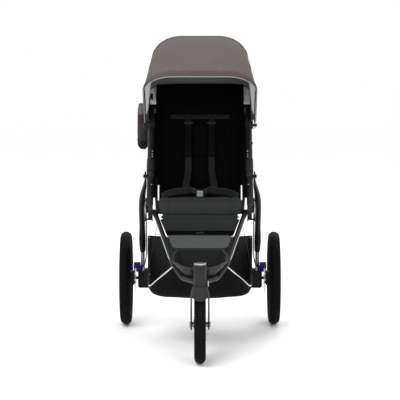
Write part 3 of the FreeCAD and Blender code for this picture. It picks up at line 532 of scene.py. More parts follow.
def stitch_row(name, points, paint="thread", length=0.0042, gap=0.0026, radius=0.00045):
    """A row of short raised stitches along a line, as one mesh."""
    line = [Vector(point) for point in points]
    verts, faces = [], []
    travelled, due = 0.0, 0.0
    for start, end in zip(line, line[1:]):
        run = (end - start).length
        ahead = (end - start).normalized()
        side = ahead.orthogonal().normalized()
        other = ahead.cross(side)
        while due < travelled + run:
            base = start + ahead * (due - travelled)
            first = len(verts)
            for along, size in ((0, 0.3), (0.25, 1.0), (0.75, 1.0), (1, 0.3)):
                for turn in range(5):
                    a = math.tau * turn / 5
                    out = (side * math.cos(a) + other * math.sin(a)) * radius * size
                    verts.append(base + ahead * (length * along) + out)
            for ring in range(3):
                for turn in range(5):
                    low, high = first + ring * 5, first + ring * 5 + 5
                    faces.append((low + turn, low + (turn + 1) % 5, high + (turn + 1) % 5, high + turn))
            faces.append(tuple(range(first + 4, first - 1, -1)))
            faces.append(tuple(range(first + 15, first + 20)))
            due += length + gap
        travelled += run
    return mesh_piece(name, verts, faces, paint)


def place(piece, body, slot, *stands_for):
    """Rides the piece on a body and hides the CAD nodes it stands for. The slot argument is not used."""
    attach(piece, body)
    if stands_for:
        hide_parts(*stands_for)
    return piece


def inflated(piece, cap, voxel=0.006, pressure=4.0, frames=20):
    """Swells a closed shape with simulated cloth under pressure, each point by no more than cap."""
    remesh = piece.modifiers.new("voxels", "REMESH")
    remesh.mode = "VOXEL"
    remesh.voxel_size = voxel
    apply_modifiers(piece)
    start = np.array([vertex.co for vertex in piece.data.vertices])
    cloth_part = piece.modifiers.new("cloth", "CLOTH")
    cloth_part.settings.use_pressure = True
    cloth_part.settings.uniform_pressure_force = pressure
    cloth_part.settings.effector_weights.gravity = 0.0
    cloth_part.point_cache.frame_start = 1
    cloth_part.point_cache.frame_end = frames
    for step in range(1, frames + 1):
        bpy.context.scene.frame_set(step)
    apply_modifiers(piece)
    bpy.context.scene.frame_set(1)
    ends = np.array([vertex.co for vertex in piece.data.vertices])
    travel = ends - start
    length = np.linalg.norm(travel, axis=1, keepdims=True)
    ends = start + travel * np.minimum(1.0, cap / np.maximum(length, 1e-9))
    piece.data.vertices.foreach_set("co", ends.astype(np.float32).ravel())
    piece.data.update()
    soft = piece.modifiers.new("soft", "SUBSURF")
    soft.levels = soft.render_levels = 1
    return apply_modifiers(piece)


def filled_to(piece, half):
    """Stretches a pad across, so that its widest point meets the side frames."""
    widest = max(abs(vertex.co.x) for vertex in piece.data.vertices)
    return moved(piece, lambda point, normal: Vector((point.x * (half / widest - 1), 0, 0)))


def pressed(piece, lines, depth, width):
    """Sinks seams into a padded surface. Each line is a function giving a point's distance from it."""
    def change(point, normal):
        near = min(abs(line(point)) for line in lines)
        return normal * (-depth * math.exp(-((near / width) ** 2)))
    return moved(piece, change)


def wrinkled(piece, size, depth, seed=0.0):
    """Soft uneven creases over a cloth surface."""
    def change(point, normal):
        return normal * (depth * noise.noise(Vector((point.x + seed, point.y, point.z)) * size))
    return moved(piece, change)


# ---------------------------------------------------------------- stage, lights and camera

CAMERA_PLACE = Vector((0, -7.662, 1.5))
CAMERA_PITCH = 7.03
CAMERA_LENS = 177.0


def make_camera():
    data = bpy.data.cameras.new("camera")
    data.lens = CAMERA_LENS
    data.sensor_width = 36.0
    data.clip_end = 100.0
    camera = bpy.data.objects.new("camera", data)
    camera.location = CAMERA_PLACE
    camera.rotation_euler = (math.radians(90 - CAMERA_PITCH), 0, 0)
    bpy.context.scene.collection.objects.link(camera)
    bpy.context.scene.camera = camera


def area_light(name, place, aim, size, power):
    data = bpy.data.lights.new(name, "AREA")
    data.shape = "RECTANGLE"
    data.size, data.size_y = size
    data.energy = power
    light = bpy.data.objects.new(name, data)
    light.location = place
    light.rotation_euler = (Vector(aim) - Vector(place)).to_track_quat("-Z", "Y").to_euler()
    bpy.context.scene.collection.objects.link(light)


def make_stage():
    half, count = 9.0, 8
    rows = []
    for step in range(count + 1):
        y = mix(-half, half, step / count)
        rows.append([Vector((mix(-half, half, over / count), y, 0)) for over in range(count + 1)])
    floor = grid_piece("floor", rows, "floor_pale")
    area_light("key", (-1.6, -2.6, 3.4), (0, 0, 0.5), (2.6, 2.2), 105)
    area_light("front_fill", (1.9, -4.4, 1.6), (0, 0, 0.5), (2.0, 2.4), 50)
    area_light("rear_fill", (0.6, 3.2, 2.6), (0, 0, 0.6), (2.4, 2.0), 60)
    world = bpy.data.worlds.new("studio")
    world.use_nodes = True
    world.node_tree.nodes["Background"].inputs["Color"].default_value = (1.0, 1.0, 1.0, 1.0)
    world.node_tree.nodes["Background"].inputs["Strength"].default_value = 1.0
    bpy.context.scene.world = world
    bpy.context.scene.view_settings.view_transform = "Standard"


# ---------------------------------------------------------------- finishes of the CAD nodes

FINISH = {
    "fork_paint": ("fork", "head_tube"),
    "frame_black": ("drag_links",),
    "tray_plastic": ("footwell",),
    "steel": ("rear_brake_disc_left", "rear_brake_disc_right"),
    "silver": ("head_cap", "swivel_lock_lever", "shock_rods", "front_axle"),
    "grip": ("handlebar_grip",),
    "buckle_grey": ("buckle_button",),
    "cable_black": ("brake_cable_loops", "brake_cable_runs", "brake_cable_tails"),
    "blue_anodised": ("brake_calipers",),
}


def finish_cad_nodes():
    slots = {entry["node"]: entry["material_slot"] for entry in frame["record"]["subparts"]}
    special = {node: paint for paint, names in FINISH.items() for node in names}
    for name, node in frame["nodes"].items():
        paint = PAINT[special.get(name, slots[name])]
        if node.data.materials:
            for index in range(len(node.data.materials)):
                node.data.materials[index] = paint
        else:
            node.data.materials.append(paint)


def paint_tray_shade():
    """Paints the footwell's inward walls and floor a darker copy of the tray plastic: painted shade in its recess.
    """
    tray = frame["nodes"]["footwell"]
    low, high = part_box("footwell")
    middle = (low + high) / 2
    inner = len(tray.data.materials)
    tray.data.materials.append(PAINT["tray_painted_shade"])
    for face in tray.data.polygons:
        away = face.center - middle
        inward = face.normal.x * away.x + face.normal.y * away.y < 0 and abs(face.normal.z) < 0.9
        floor = face.normal.z > 0.6 and face.center.z < low.z + 0.03
        if inward or floor:
            face.material_index = inner


# ---------------------------------------------------------------- tyres

def make_tyre(name, axle, x, radius, half_width, height, body, stands_for):
    """Air tyre with a ribbed crown, cross cuts on its shoulders and a moulded ring on its wall."""
    round_steps, section_steps = 216, 40
    rows = []
    for step in range(round_steps):
        turn = math.tau * step / round_steps
        row = []
        for spot in range(section_steps):
            a = math.tau * spot / section_steps
            side = half_width * math.cos(a)
            out = height / 2 * math.sin(a)
            crown = max(0.0, math.sin(a))
            groove = 0.0
            across = abs(side) / half_width
            if crown > 0.35:
                rib = min(abs(across - 0.22), abs(across - 0.58))
                groove += 0.0022 * math.exp(-((rib / 0.045) ** 2))
                if across > 0.36 and (step + (0 if side > 0 else 2)) % 4 == 0:
                    groove += 0.0010
            elif -0.2 < math.sin(a) < 0.05:
                groove -= 0.0004 if step % 2 else 0.0
            if abs(math.sin(a) + 0.25) < 0.1:
                groove -= 0.0007
            shrink = 1 - groove / (height / 2)
            reach = radius - height / 2 + out * shrink
            inner = radius - height + 0.0032
            reach = max(reach, inner)
            row.append(Vector((x + side * shrink, axle.y + reach * math.cos(turn),
                               axle.z + reach * math.sin(turn))))
        rows.append(row)
    points = [point for row in rows for point in row]
    faces = []
    for step in range(round_steps):
        low, high = step * section_steps, ((step + 1) % round_steps) * section_steps
        for spot in range(section_steps):
            after = (spot + 1) % section_steps
            faces.append((low + spot, low + after, high + after, high + spot))
    piece = mesh_piece(name, points, faces, "tyre")
    tidy_normals(piece)
    return place(piece, body, "tyre", stands_for)


def make_tyres():
    for side, body in (("left", "left_wheel_set"), ("right", "right_wheel_set")):
        node = "rear_tyre_" + side
        low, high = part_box(node)
        centre = (low + high) / 2
        make_tyre("tread_rear_" + side, centre, centre.x, (high.z - low.z) / 2, (high.x - low.x) / 2, 0.040,
                  body, node)
    low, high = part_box("front_tyre")
    centre = (low + high) / 2
    make_tyre("tread_front", centre, centre.x, (high.z - low.z) / 2, (high.x - low.x) / 2, 0.038,
              "front_wheel_set", "front_tyre")


# ---------------------------------------------------------------- canopy

MAIN_BOW, FRONT_BOW, BRIM_END, REAR_END = 98.0, 141.6, 144.6, 45.5
HUB_REACH = 0.022
HOOD_SHAPES = (
    (REAR_END, {"hub": 0.2165, "half": 0.2165, "radius": 0.200, "wide": 0.045, "tall": 0.045}),
    (72.0, {"hub": 0.2180, "half": 0.2180, "radius": 0.306, "wide": 0.085, "tall": 0.075}),
    (MAIN_BOW, {"hub": 0.2195, "half": 0.1927, "radius": 0.3672, "wide": 0.118, "tall": 0.095}),
    (FRONT_BOW, {"hub": 0.2262, "half": 0.2257, "radius": 0.3757, "wide": 0.113, "tall": 0.128}),
    (150.0, {"hub": 0.2262, "half": 0.2257, "radius": 0.3757, "wide": 0.113, "tall": 0.128}),
)


def hood_shape(angle):
    """Half width, radius and corner of the canopy at one angle round its pivot."""
    for (first, low), (last, high) in zip(HOOD_SHAPES, HOOD_SHAPES[1:]):
        if angle <= last:
            share = max(0.0, (angle - first) / (last - first))
            return {key: mix(low[key], high[key], share) for key in low}
    return HOOD_SHAPES[-1][1]


def hood_section(angle, shrink=0.0, low_reach=HUB_REACH):
    """Points of the canopy across the stroller at one angle, from the left hub over the top."""
    shape = hood_shape(angle)
    half, top = shape["half"] - shrink, shape["radius"] - shrink
    hub = shape["hub"] - shrink
    wide, tall = shape["wide"], shape["tall"]
    side = []
    for step in range(10):
        share = step / 10
        side.append((mix(hub, half, share), mix(low_reach, top - tall, share)))
    for step in range(15):
        turn = math.pi / 2 * step / 14
        side.append((half - wide + wide * math.cos(turn), top - tall + tall * math.sin(turn)))
    for step in range(1, 8):
        share = step / 8
        side.append(((half - wide) * (1 - share), top))
    whole = [(-x, reach) for x, reach in side] + [(0.0, top)] + [(x, reach) for x, reach in reversed(side)]
    out = side_vector(angle)
    return [Vector((x, 0, 0)) + HOOD_POINT + out * reach for x, reach in whole]


HOOD_POINT = Vector((0, HOOD_PIVOT.y, HOOD_PIVOT.z))


def hood_sheet(name, start, end, count, paint, shrink=0.0, sag=0.0, low_reach=HUB_REACH):
    """Canopy cloth between two angles; it dips a little between its bows."""
    rows = []
    for step in range(count + 1):
        share = step / count
        angle = mix(start, end, share)
        dip = sag * math.sin(math.pi * share)
        rows.append(hood_section(angle, shrink + dip, low_reach))
    return grid_piece(name, rows, paint)


def flip_outwards(piece):
    """Makes the cloth's faces look away from the canopy's inside."""
    middle = HOOD_POINT + Vector((0, 0, 0.1))
    outward = sum((face.center - middle).dot(face.normal) * face.area for face in piece.data.polygons)
    if outward < 0:
        piece.data.flip_normals()
    return piece


def fold_by_angle(piece):
    """Bakes the canopy cloth's transform into its mesh."""
    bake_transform(piece)
    return piece


def make_canopy():
    front = hood_sheet("canopy_top_front", MAIN_BOW, BRIM_END, 26, "canopy_cloth", 0.0, 0.004)
    front = with_thickness(wrinkled(flip_outwards(front), 9.0, 0.0016), 0.0016, 1)
    fold_by_angle(front)
    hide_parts("canopy_main_hood", "canopy_front_hood")

    rear = hood_sheet("canopy_top_rear", REAR_END, MAIN_BOW, 22, "canopy_cloth", 0.0, 0.006)
    rear = with_thickness(wrinkled(flip_outwards(rear), 9.0, 0.0022, 3.0), 0.0016, 1)
    fold_by_angle(rear)
    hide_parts("canopy_rear_panel")

    liner = hood_sheet("canopy_lining_front", MAIN_BOW + 3.0, FRONT_BOW - 0.6, 20, "lining", 0.0072, 0.004,
                       0.075)
    liner = with_thickness(flip_outwards(liner), 0.0008, 1)
    paint_lit_side_walls(liner)
    fold_by_angle(liner)

    rear_liner = hood_sheet("canopy_lining_rear", REAR_END + 1.5, MAIN_BOW + 3.0, 20, "lining", 0.0072, 0.004,
                            0.075)
    rear_liner = with_thickness(flip_outwards(rear_liner), 0.0008, 1)
    fold_by_angle(rear_liner)

    trims = make_canopy_trims()


def paint_lit_side_walls(liner):
    """Gives the lining's side walls, picked by their sideways faces, a far paler copy of the lining cloth than its
    roof: painted light on the walls that catch the light.
    """
    liner.data.materials.append(PAINT["lining_lit_copy"])
    for face in liner.data.polygons:
        if abs(face.center.x) > 0.16 and abs(face.normal.x) > 0.55:
            face.material_index = 1


def make_canopy_trims():
    """Folded brim, pale edge cord, the main bow's seam and the brim's stitches."""
    brim_rows = [hood_section(mix(FRONT_BOW - 0.3, BRIM_END + 0.1, step / 5),
                              -0.0018 - 0.0008 * math.sin(math.pi * step / 5)) for step in range(6)]
    brim = with_thickness(flip_outwards(grid_piece("canopy_brim", brim_rows, "canopy_brim")), 0.0026, 1)
    place(brim, "canopy_front_half", "canopy_cloth")
    edge = tube_piece("canopy_edge_piping", hood_section(BRIM_END + 0.25, 0.0016), 0.0019, "edge_cord")
    place(edge, "canopy_front_half", "piping")
    seam = tube_piece("canopy_bow_seam", hood_section(MAIN_BOW + 0.6, -0.0006), 0.0015, "canopy_brim")
    place(seam, "canopy_rear_half", "canopy_cloth")
    line = hood_section(FRONT_BOW - 0.9, -0.0003)
    stitches = stitch_row("canopy_brim_stitches", spline_through(line, 180), "thread")
    place(stitches, "canopy_front_half", "canopy_cloth")
    return {"brim": brim, "edge": edge, "seam": seam, "stitches": stitches}


# ---------------------------------------------------------------- seat

SOFT_HALF = 0.1655
SHOULDER_X = 0.048
WALL_INNER, WALL_OUTER = 0.150, 0.1842
OVER_TUBE = 0.0165
# Outline of the seat cushion from the side: y and height
SEAT_PROFILE = ((-0.078, 0.560), (-0.060, 0.567), (-0.038, 0.565), (0.010, 0.552), (0.060, 0.537),
                (0.120, 0.519), (0.178, 0.502), (0.182, 0.488), (0.120, 0.492), (0.040, 0.500),
                (-0.062, 0.500), (-0.084, 0.508), (-0.086, 0.535))


def make_seat_base():
    """Seat cushion: crowned between its side seams, rolled over at the front edge."""
    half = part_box("seat_base")[1].x + 0.0015
    rows = []
    for step in range(13):
        x = mix(-half, half, step / 12)
        edge = smooth(min(1.0, (half - abs(x)) / 0.03))
        row = []
        for y, z in SEAT_PROFILE:
            middle_y, middle_z = 0.045, 0.512
            pull = mix(0.9, 1.0, edge)
            taper = 1 - 0.125 * smooth((0.56 - z) / 0.05) * smooth((-0.03 - y) / 0.04)
            row.append(Vector((x * taper, middle_y + (y - middle_y) * mix(0.975, 1.0, edge),
                               middle_z + (z - middle_z) * pull)))
        rows.append(row)
    cushion = grid_piece("seat_cushion", rows, "seat_cloth", closed=True, capped=True)
    cushion = filled_to(inflated(cushion, 0.007), SOFT_HALF)
    seams = [lambda p: p.x - 0.118, lambda p: p.x + 0.118, lambda p: 1.0 if p.z < 0.5 else p.y - 0.155]
    cushion = pressed(cushion, seams, 0.0045, 0.005)
    # Faces turned to the front take the paler copy: painted light on the cushion's lit front.
    lit_front_slot = len(cushion.data.materials)
    cushion.data.materials.append(PAINT["trim_and_lit_front"])
    for face in cushion.data.polygons:
        if face.center.y < -0.05 and face.center.z < 0.566 and face.normal.y < -0.35:
            face.material_index = lit_front_slot
    cushion = wrinkled(cushion, 16.0, 0.0022)
    place(cushion, "front_frame", "seat_cloth", "seat_base")
    across = [mix(-0.155, 0.155, step / 30) for step in range(31)]
    edge_line = [Vector((x, -0.0735 - 0.004 * math.cos(x * 9), 0.569)) for x in across]
    piping = tube_piece("seat_front_piping", edge_line, 0.0022, "trim_and_lit_front")
    place(piping, "front_frame", "seat_cloth")


def back_point(along, depth, x=0.0):
    """A point on the backrest: along it from the hip, and depth behind its front face."""
    return Vector((x, HIP.y, HIP.z)) + BACK * along + BACK_REAR * depth


def back_along(point):
    return (point - Vector((0, HIP.y, HIP.z))).dot(BACK)


BACK_FRONT, BACK_THICK, BACK_HALF, BACK_TOP = 0.004, 0.030, 0.165, 0.490


def make_seat_back():
    """Padded back with sewn channels, then its side walls and its harness."""
    rows = []
    for step in range(17):
        along = mix(0.028, BACK_TOP - 0.006, step / 16)
        narrow = 0.003 * smooth((along - 0.40) / 0.09)
        half = BACK_HALF - narrow
        row = []
        for spot in range(13):
            share = spot / 12
            row.append(back_point(along, BACK_FRONT + 0.006 + 0.004 * (2 * share - 1) ** 2,
                                  mix(-half, half, share)))
        for spot in range(13):
            row.append(back_point(along, BACK_FRONT + BACK_THICK - 0.006, mix(half, -half, spot / 12)))
        rows.append(row)
    # The backrest pad takes the near-black seat cloth copy: painted shade under the canopy.
    pad = grid_piece("backrest_pad", rows, "seat_painted_shade", closed=True, capped=True)
    pad = filled_to(inflated(pad, 0.006), SOFT_HALF)
    front = lambda p: (p - back_point(0, BACK_FRONT + BACK_THICK / 2)).dot(BACK_REAR) < 0
    seams = [
        lambda p: (abs(p.x) - 0.094) if front(p) else 1.0,
        lambda p: (abs(p.x) - 0.132) if front(p) else 1.0,
        lambda p: (back_along(p) - 0.236) if front(p) and abs(p.x) < 0.132 else 1.0,
        lambda p: (back_along(p) - 0.388) if front(p) and abs(p.x) < 0.132 else 1.0,
        lambda p: (back_along(p) - 0.428) if front(p) and abs(p.x) < 0.132 else 1.0,
        lambda p: (back_along(p) - 0.120) if front(p) and abs(p.x) < 0.132 else 1.0,
    ]
    pad = pressed(pad, seams, 0.0038, 0.0045)
    pad = wrinkled(pad, 14.0, 0.0018, 5.0)
    place(pad, "backrest", "seat_cloth", "seat_back")
    make_back_sides()
    make_back_details()


def tube_point(z, x):
    """The point of a side tube's middle line at a height."""
    along = (z - FOLD.z) / TUBE.z
    return Vector((x, FOLD.y + TUBE.y * along, z))


def make_back_sides():
    """Cloth side walls of the seat, from the backrest's edges out to the side tubes."""
    for side, name in SIDES:
        rows = []
        for step in range(27):
            at_back = back_point(mix(0.13, BACK_TOP, step / 26), BACK_FRONT + 0.021, side * WALL_INNER)
            at_tube = tube_point(at_back.z, side * WALL_OUTER)
            row = []
            for spot in range(13):
                share = spot / 12
                point = at_back.lerp(at_tube, share)
                point.x = side * mix(WALL_INNER, WALL_OUTER, smooth(share) ** 0.5)
                row.append(point)
            rows.append(row)
        wall = cloth_piece("seat_side_" + name, rows, "seat_painted_shade", 0.0016)
        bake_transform(wall)
        over = Vector((0, -TUBE.z, TUBE.y)) * OVER_TUBE
        strip_rows = []
        for step in range(9):
            base = Vector((0, FOLD.y, FOLD.z)) + TUBE * mix(0.062, 0.165, step / 8) + over
            strip_rows.append([at_x(base, side * mix(0.1668, 0.1865, spot / 6)) for spot in range(7)])
        strip = cloth_piece("seat_gusset_" + name, strip_rows, "seat_painted_shade", 0.0016)
        place(strip, "upper_frame", "seat_cloth")
        skirt_rows = []
        for step in range(9):
            along = mix(0.020, 0.165, step / 8)
            skirt_rows.append([back_point(along, BACK_FRONT + 0.019,
                                          side * mix(0.140, 0.1662, spot / 4)) for spot in range(5)])
        skirt = cloth_piece("backrest_skirt_" + name, skirt_rows, "seat_painted_shade", 0.0016)
        place(skirt, "backrest", "seat_cloth")


def small_pad(name, along, depth, half, length, paint, thick=0.010, cap=0.004):
    """A little stuffed pad lying on the backrest."""
    rows = []
    for step in range(9):
        share = step / 8
        place_along = mix(along - length / 2, along + length / 2, share)
        round_end = math.sqrt(max(0.0, 1 - abs(2 * share - 1) ** 6))
        reach = half * mix(0.8, 1.0, round_end)
        row = []
        for spot in range(7):
            row.append(Vector((mix(-reach, reach, spot / 6), place_along, depth)))
        for spot in range(7):
            row.append(Vector((mix(reach, -reach, spot / 6), place_along, depth + thick)))
        rows.append([back_point(p.y, p.z, p.x) for p in row])
    pad = grid_piece(name, rows, paint, closed=True, capped=True)
    return inflated(pad, cap, 0.004, 3.0, 12)


def shifted(piece, x):
    """Moves a piece across the stroller."""
    for vertex in piece.data.vertices:
        vertex.co.x += x
    piece.data.update()
    return piece


def make_back_details():
    """Centre pad, shoulder pads, height bar and strap guides on the backrest."""
    middle = small_pad("backrest_middle_pad", 0.306, -0.003, 0.026, 0.135, "seat_painted_shade", 0.008, 0.004)
    place(middle, "backrest", "seat_cloth")
    for side, name in SIDES:
        shoulder = shifted(small_pad("shoulder_pad_" + name, 0.300, -0.0125, 0.0150, 0.136, "pad_shaded_cloth",
                                     0.011, 0.004), side * SHOULDER_X)
        shoulder = pressed(shoulder, [lambda p, c=side * SHOULDER_X: abs(p.x - c) - 0.0105], 0.0012, 0.0018)
        place(shoulder, "backrest", "webbing", *(("harness",) if side < 0 else ()))
        make_shoulder_straps(side, name)
    bar_points = [back_point(0.408, -0.0015, mix(-0.122, 0.122, i / 8)) for i in range(9)]
    bar = strap_piece("height_bar", bar_points, BACK, 0.020, "webbing", 0.003)
    place(bar, "backrest", "webbing")
    for side, name in SIDES:
        rows = []
        for step in range(7):
            x = side * SHOULDER_X + mix(-0.019, 0.019, step / 6)
            swell = math.sqrt(max(0.0, 1 - (2 * step / 6 - 1) ** 4))
            rows.append([back_point(0.380 + 0.006 * math.cos(a) * mix(0.6, 1, swell),
                                    -0.006 + 0.0045 * math.sin(a) * mix(0.5, 1, swell), x)
                         for a in round_angles(12)])
        guide = grid_piece("strap_guide_" + name, rows, "buckle_plastic", closed=True, capped=True)
        place(guide, "backrest", "plastic_black")


def make_shoulder_straps(side, name):
    """One side's webbing: slot to pad, pad to waist, and waist to buckle."""
    x = side * SHOULDER_X
    upper = strap_piece("strap_top_" + name, [back_point(0.398, -0.001, x), back_point(0.386, -0.007, x),
                                              back_point(0.366, -0.009, x)],
                        Vector((1, 0, 0)), 0.025, count=10)
    place(upper, "backrest", "webbing")
    knot = Vector((side * 0.030, 0.060, 0.588))
    lower_points = [back_point(0.238, -0.008, x), back_point(0.170, -0.014, x),
                    Vector((side * 0.056, HIP.y - 0.030, HIP.z + 0.118)),
                    Vector((side * 0.052, HIP.y - 0.075, HIP.z + 0.110)), Vector((side * 0.040, 0.090,
                                                                                  0.587)), knot]
    lower = strap_piece("strap_shoulder_" + name, lower_points,
                        (Vector((1, 0, 0)), Vector((0.6, 0.6 * side, 0.2))), (0.026, 0.030), count=40)
    hip_pad_points = [Vector((side * 0.152, 0.182, 0.545)), Vector((side * 0.132, 0.130, 0.562)),
                      Vector((side * 0.100, 0.085, 0.577)),
                      Vector((side * 0.062, 0.058, 0.584)), knot]
    waist = strap_piece("strap_waist_" + name, hip_pad_points, (Vector((0, 0.2, 1)), Vector((0, 0.45, 1))),
                        (0.034, 0.026), "seat_cloth", 0.006, 36)
    tongue_points = [knot + Vector((side * 0.008, 0.006, 0)), Vector((side * 0.022, 0.045, 0.586)),
                     Vector((side * 0.014, 0.038, 0.582))]
    tongue = strap_piece("buckle_tongue_" + name, tongue_points, Vector((0, 0.3, 1)), 0.020, "buckle_plastic",
                         0.005, 10)
    for piece in (lower, waist, tongue):
        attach(piece, "backrest")
        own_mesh(piece)


def make_top_flap():
    """The flap above the backrest, in the near-black seat cloth copy that is painted shade, and strips beside it
    on the side tubes in the pale lining copy that is painted light.
    """
    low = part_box("upper_cross_bar")[0]
    bar = Vector((0, (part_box("upper_cross_bar")[0].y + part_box("upper_cross_bar")[1].y) / 2,
                  (low.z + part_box("upper_cross_bar")[1].z) / 2))
    rows = []
    for step in range(13):
        share = step / 12
        half = mix(0.181, 0.1815, smooth(share))
        start = back_point(BACK_TOP - 0.030, BACK_FRONT + 0.012)
        end = bar + Vector((0, -0.012, 0.027))
        base = start.lerp(end, share) + Vector((0, 0, 0.010 * math.sin(math.pi * share)))
        row = []
        for spot in range(21):
            over = 2 * spot / 20 - 1
            row.append(base + Vector((half * over, 0,
                                      0.003 * math.cos(over * math.pi / 2) - 0.001 * abs(over) ** 5)))
        rows.append(row)
    flap = cloth_piece("backrest_top_flap", rows, "seat_painted_shade", 0.003)
    flap = wrinkled(flap, 14.0, 0.0018, 2.0)
    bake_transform(flap)
    ahead = Vector((0, -TUBE.z, TUBE.y)) * 0.0182
    for side, name in SIDES:
        rows = []
        for step in range(13):
            base = Vector((0, FOLD.y, FOLD.z)) + TUBE * mix(0.556, 0.700, step / 12) + ahead
            rows.append([at_x(base, side * mix(0.1795, 0.2060, spot / 6)) for spot in range(7)])
        # These strips take the pale lining copy: painted light.
        lit_lining_strip = cloth_piece("hood_lit_lining_" + name, rows, "lining_lit_copy", 0.0014)
        place(lit_lining_strip, "upper_frame", "lining")


def panel_points(top, bottom, top_half, bottom_half, steps=14, crown=0.0):
    """Rows across a sloped panel with rounded corners, crowned towards the front."""
    ahead = Vector((0, -(top.z - bottom.z), -(bottom.y - top.y))).normalized()
    rows = []
    for step in range(steps + 1):
        share = step / steps
        rim = min(share, 1 - share)
        half = mix(top_half, bottom_half, share) - 0.010 * (1 - smooth(rim / 0.12)) ** 2
        row = []
        for spot in range(25):
            over = 2 * spot / 24 - 1
            height = crown * (1 - over ** 4) * math.sin(math.pi * share) ** 0.6
            row.append(top.lerp(bottom, share) + Vector((half * over, 0, 0)) + ahead * height)
        rows.append(row)
    return rows, ahead


def padded_panel(name, top, bottom, halves, thick, paint, seams, cap):
    """A thin stuffed panel between two heights, with its seams pressed in."""
    rows, ahead = panel_points(top, bottom, *halves)
    whole = [row + [point - ahead * thick for point in reversed(row)] for row in rows]
    piece = grid_piece(name, whole, paint, closed=True, capped=True)
    piece = pressed(inflated(piece, cap, 0.005), seams, 0.003, 0.004)
    return wrinkled(piece, 15.0, 0.0016, 7.0)


def make_calf_panel():
    low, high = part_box("calf_panel")
    top = Vector((0, high.y - 0.008, high.z + 0.010))
    bottom = Vector((0, low.y + 0.001, low.z - 0.004))
    fold = lambda p: (1.0 if abs(p.x) > 0.2 else p.z - (high.z - 0.010))
    calf = padded_panel("calf_rest", top, bottom, (0.149, 0.125), 0.005, "calf_lit_cloth", [fold], 0.004)
    calf = filled_to(calf, 0.152)
    place(calf, "front_frame", "seat_cloth", "calf_panel")
    for side, name in SIDES:
        centre = bottom + Vector((side * 0.122, -0.006, -0.004))
        loop = [centre + Vector((0.0055 * math.cos(a), 0,
                                 0.008 * math.sin(a))) for a in round_angles(12)]
        ring = tube_piece("calf_ring_" + name, loop, 0.0014, "silver", closed=True)
        place(ring, "front_frame", "silver")
    rows = []
    for step in range(9):
        share = step / 8
        half = mix(0.156, 0.128, share)
        rows.append([Vector((mix(-half, half, spot / 16), mix(-0.085, -0.158, share),
                             mix(0.492, 0.434, share))) for spot in range(17)])
    under = cloth_piece("calf_under_cloth", rows, "calf_lit_cloth", 0.0018)
    # The lower part of this cloth, under the calf rest, takes the near-black seat cloth copy: painted shade.
    under.data.materials.append(PAINT["seat_painted_shade"])
    for face in under.data.polygons:
        face.material_index = 1 if face.center.z < 0.452 else 0
    place(wrinkled(under, 16.0, 0.001, 3.0), "front_frame", "seat_cloth")
    tab_points = [bottom + Vector((0, -0.004, 0.010)), bottom + Vector((0, -0.009, -0.004)),
                  bottom + Vector((0, -0.030, -0.018))]
    tab = strap_piece("calf_tab", tab_points, Vector((1, 0, 0)), (0.030, 0.022), "trim_and_lit_front", 0.003, 14)
    place(tab, "front_frame", "seat_cloth")


def make_apron():
    """Sloped front panel of coated cloth with a bound and stitched border."""
    low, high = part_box("front_apron")
    top = Vector((0, high.y - 0.002, high.z - 0.004))
    bottom = Vector((0, low.y + 0.003, low.z + 0.003))
    halves = (0.125, 0.104)
    rows, ahead = panel_points(top, bottom, *halves, crown=0.004)
    apron = cloth_piece("front_panel", rows, "apron_cloth", 0.003)
    apron = wrinkled(apron, 11.0, 0.0008, 1.0)
    place(apron, "front_frame", "basket_cloth", "front_apron")
    right_edge = [row[-1] for row in rows[1:]]
    left_edge = [row[0] for row in reversed(rows[:-1])]
    border = [point + ahead * 0.0005 for point in rows[0]] + right_edge + list(reversed(rows[-1])) + left_edge
    binding = tube_piece("front_panel_binding", border[::2], 0.0021, "trim_and_lit_front", closed=True)
    place(binding, "front_frame", "seat_cloth")
    inner = []
    for step in range(2, len(rows) - 1):
        inner.append(rows[step][2] + ahead * 0.002)
    lines = [rows[1][i] + ahead * 0.0022 for i in range(2, 23)]
    stitches = joined("front_panel_stitches", [stitch_row("a", lines), stitch_row("b", inner),
                                               stitch_row("c", [at_x(p, -p.x) for p in inner])])
    place(stitches, "front_frame", "seat_cloth")


# ---------------------------------------------------------------- basket

# Stations of the basket: y, half width, height of the top edge, height of the bottom
BASKET = ((-0.285, 0.092, 0.345, 0.322), (-0.240, 0.122, 0.312, 0.284), (-0.165, 0.168, 0.262, 0.222),
          (-0.092, 0.197, 0.229, 0.186), (0.000, 0.203, 0.256, 0.179), (0.100, 0.206, 0.300, 0.178),
          (0.200, 0.209, 0.344, 0.179), (0.284, 0.211, 0.372, 0.181))
BASKET_CORNER = 0.026
BASKET_CORNER_ACROSS = 0.075


def basket_row(y, half, top, bottom, sag):
    """The basket's cloth across the stroller: wall, rounded corner, sagging floor, corner, wall."""
    corner = min(BASKET_CORNER, (top - bottom) * 0.8)
    across = BASKET_CORNER_ACROSS * corner / BASKET_CORNER
    right = []
    for step in range(7):
        share = step / 6
        bow = 0.004 * math.sin(math.pi * share)
        right.append((half - 0.006 * share + bow, mix(top, bottom + corner, share)))
    for step in range(1, 6):
        turn = math.pi / 2 * step / 5
        right.append((half - 0.006 - across * (1 - math.cos(turn)), bottom + corner * (1 - math.sin(turn))))
    for step in range(1, 8):
        share = step / 8
        x = (half - 0.006 - across) * (1 - share)
        right.append((x, bottom - sag * math.sin(math.pi / 2 * share)))
    whole = right + [(0.0, bottom - sag)] + [(-x, z) for x, z in reversed(right)]
    return [Vector((x, y, z)) for x, z in whole]


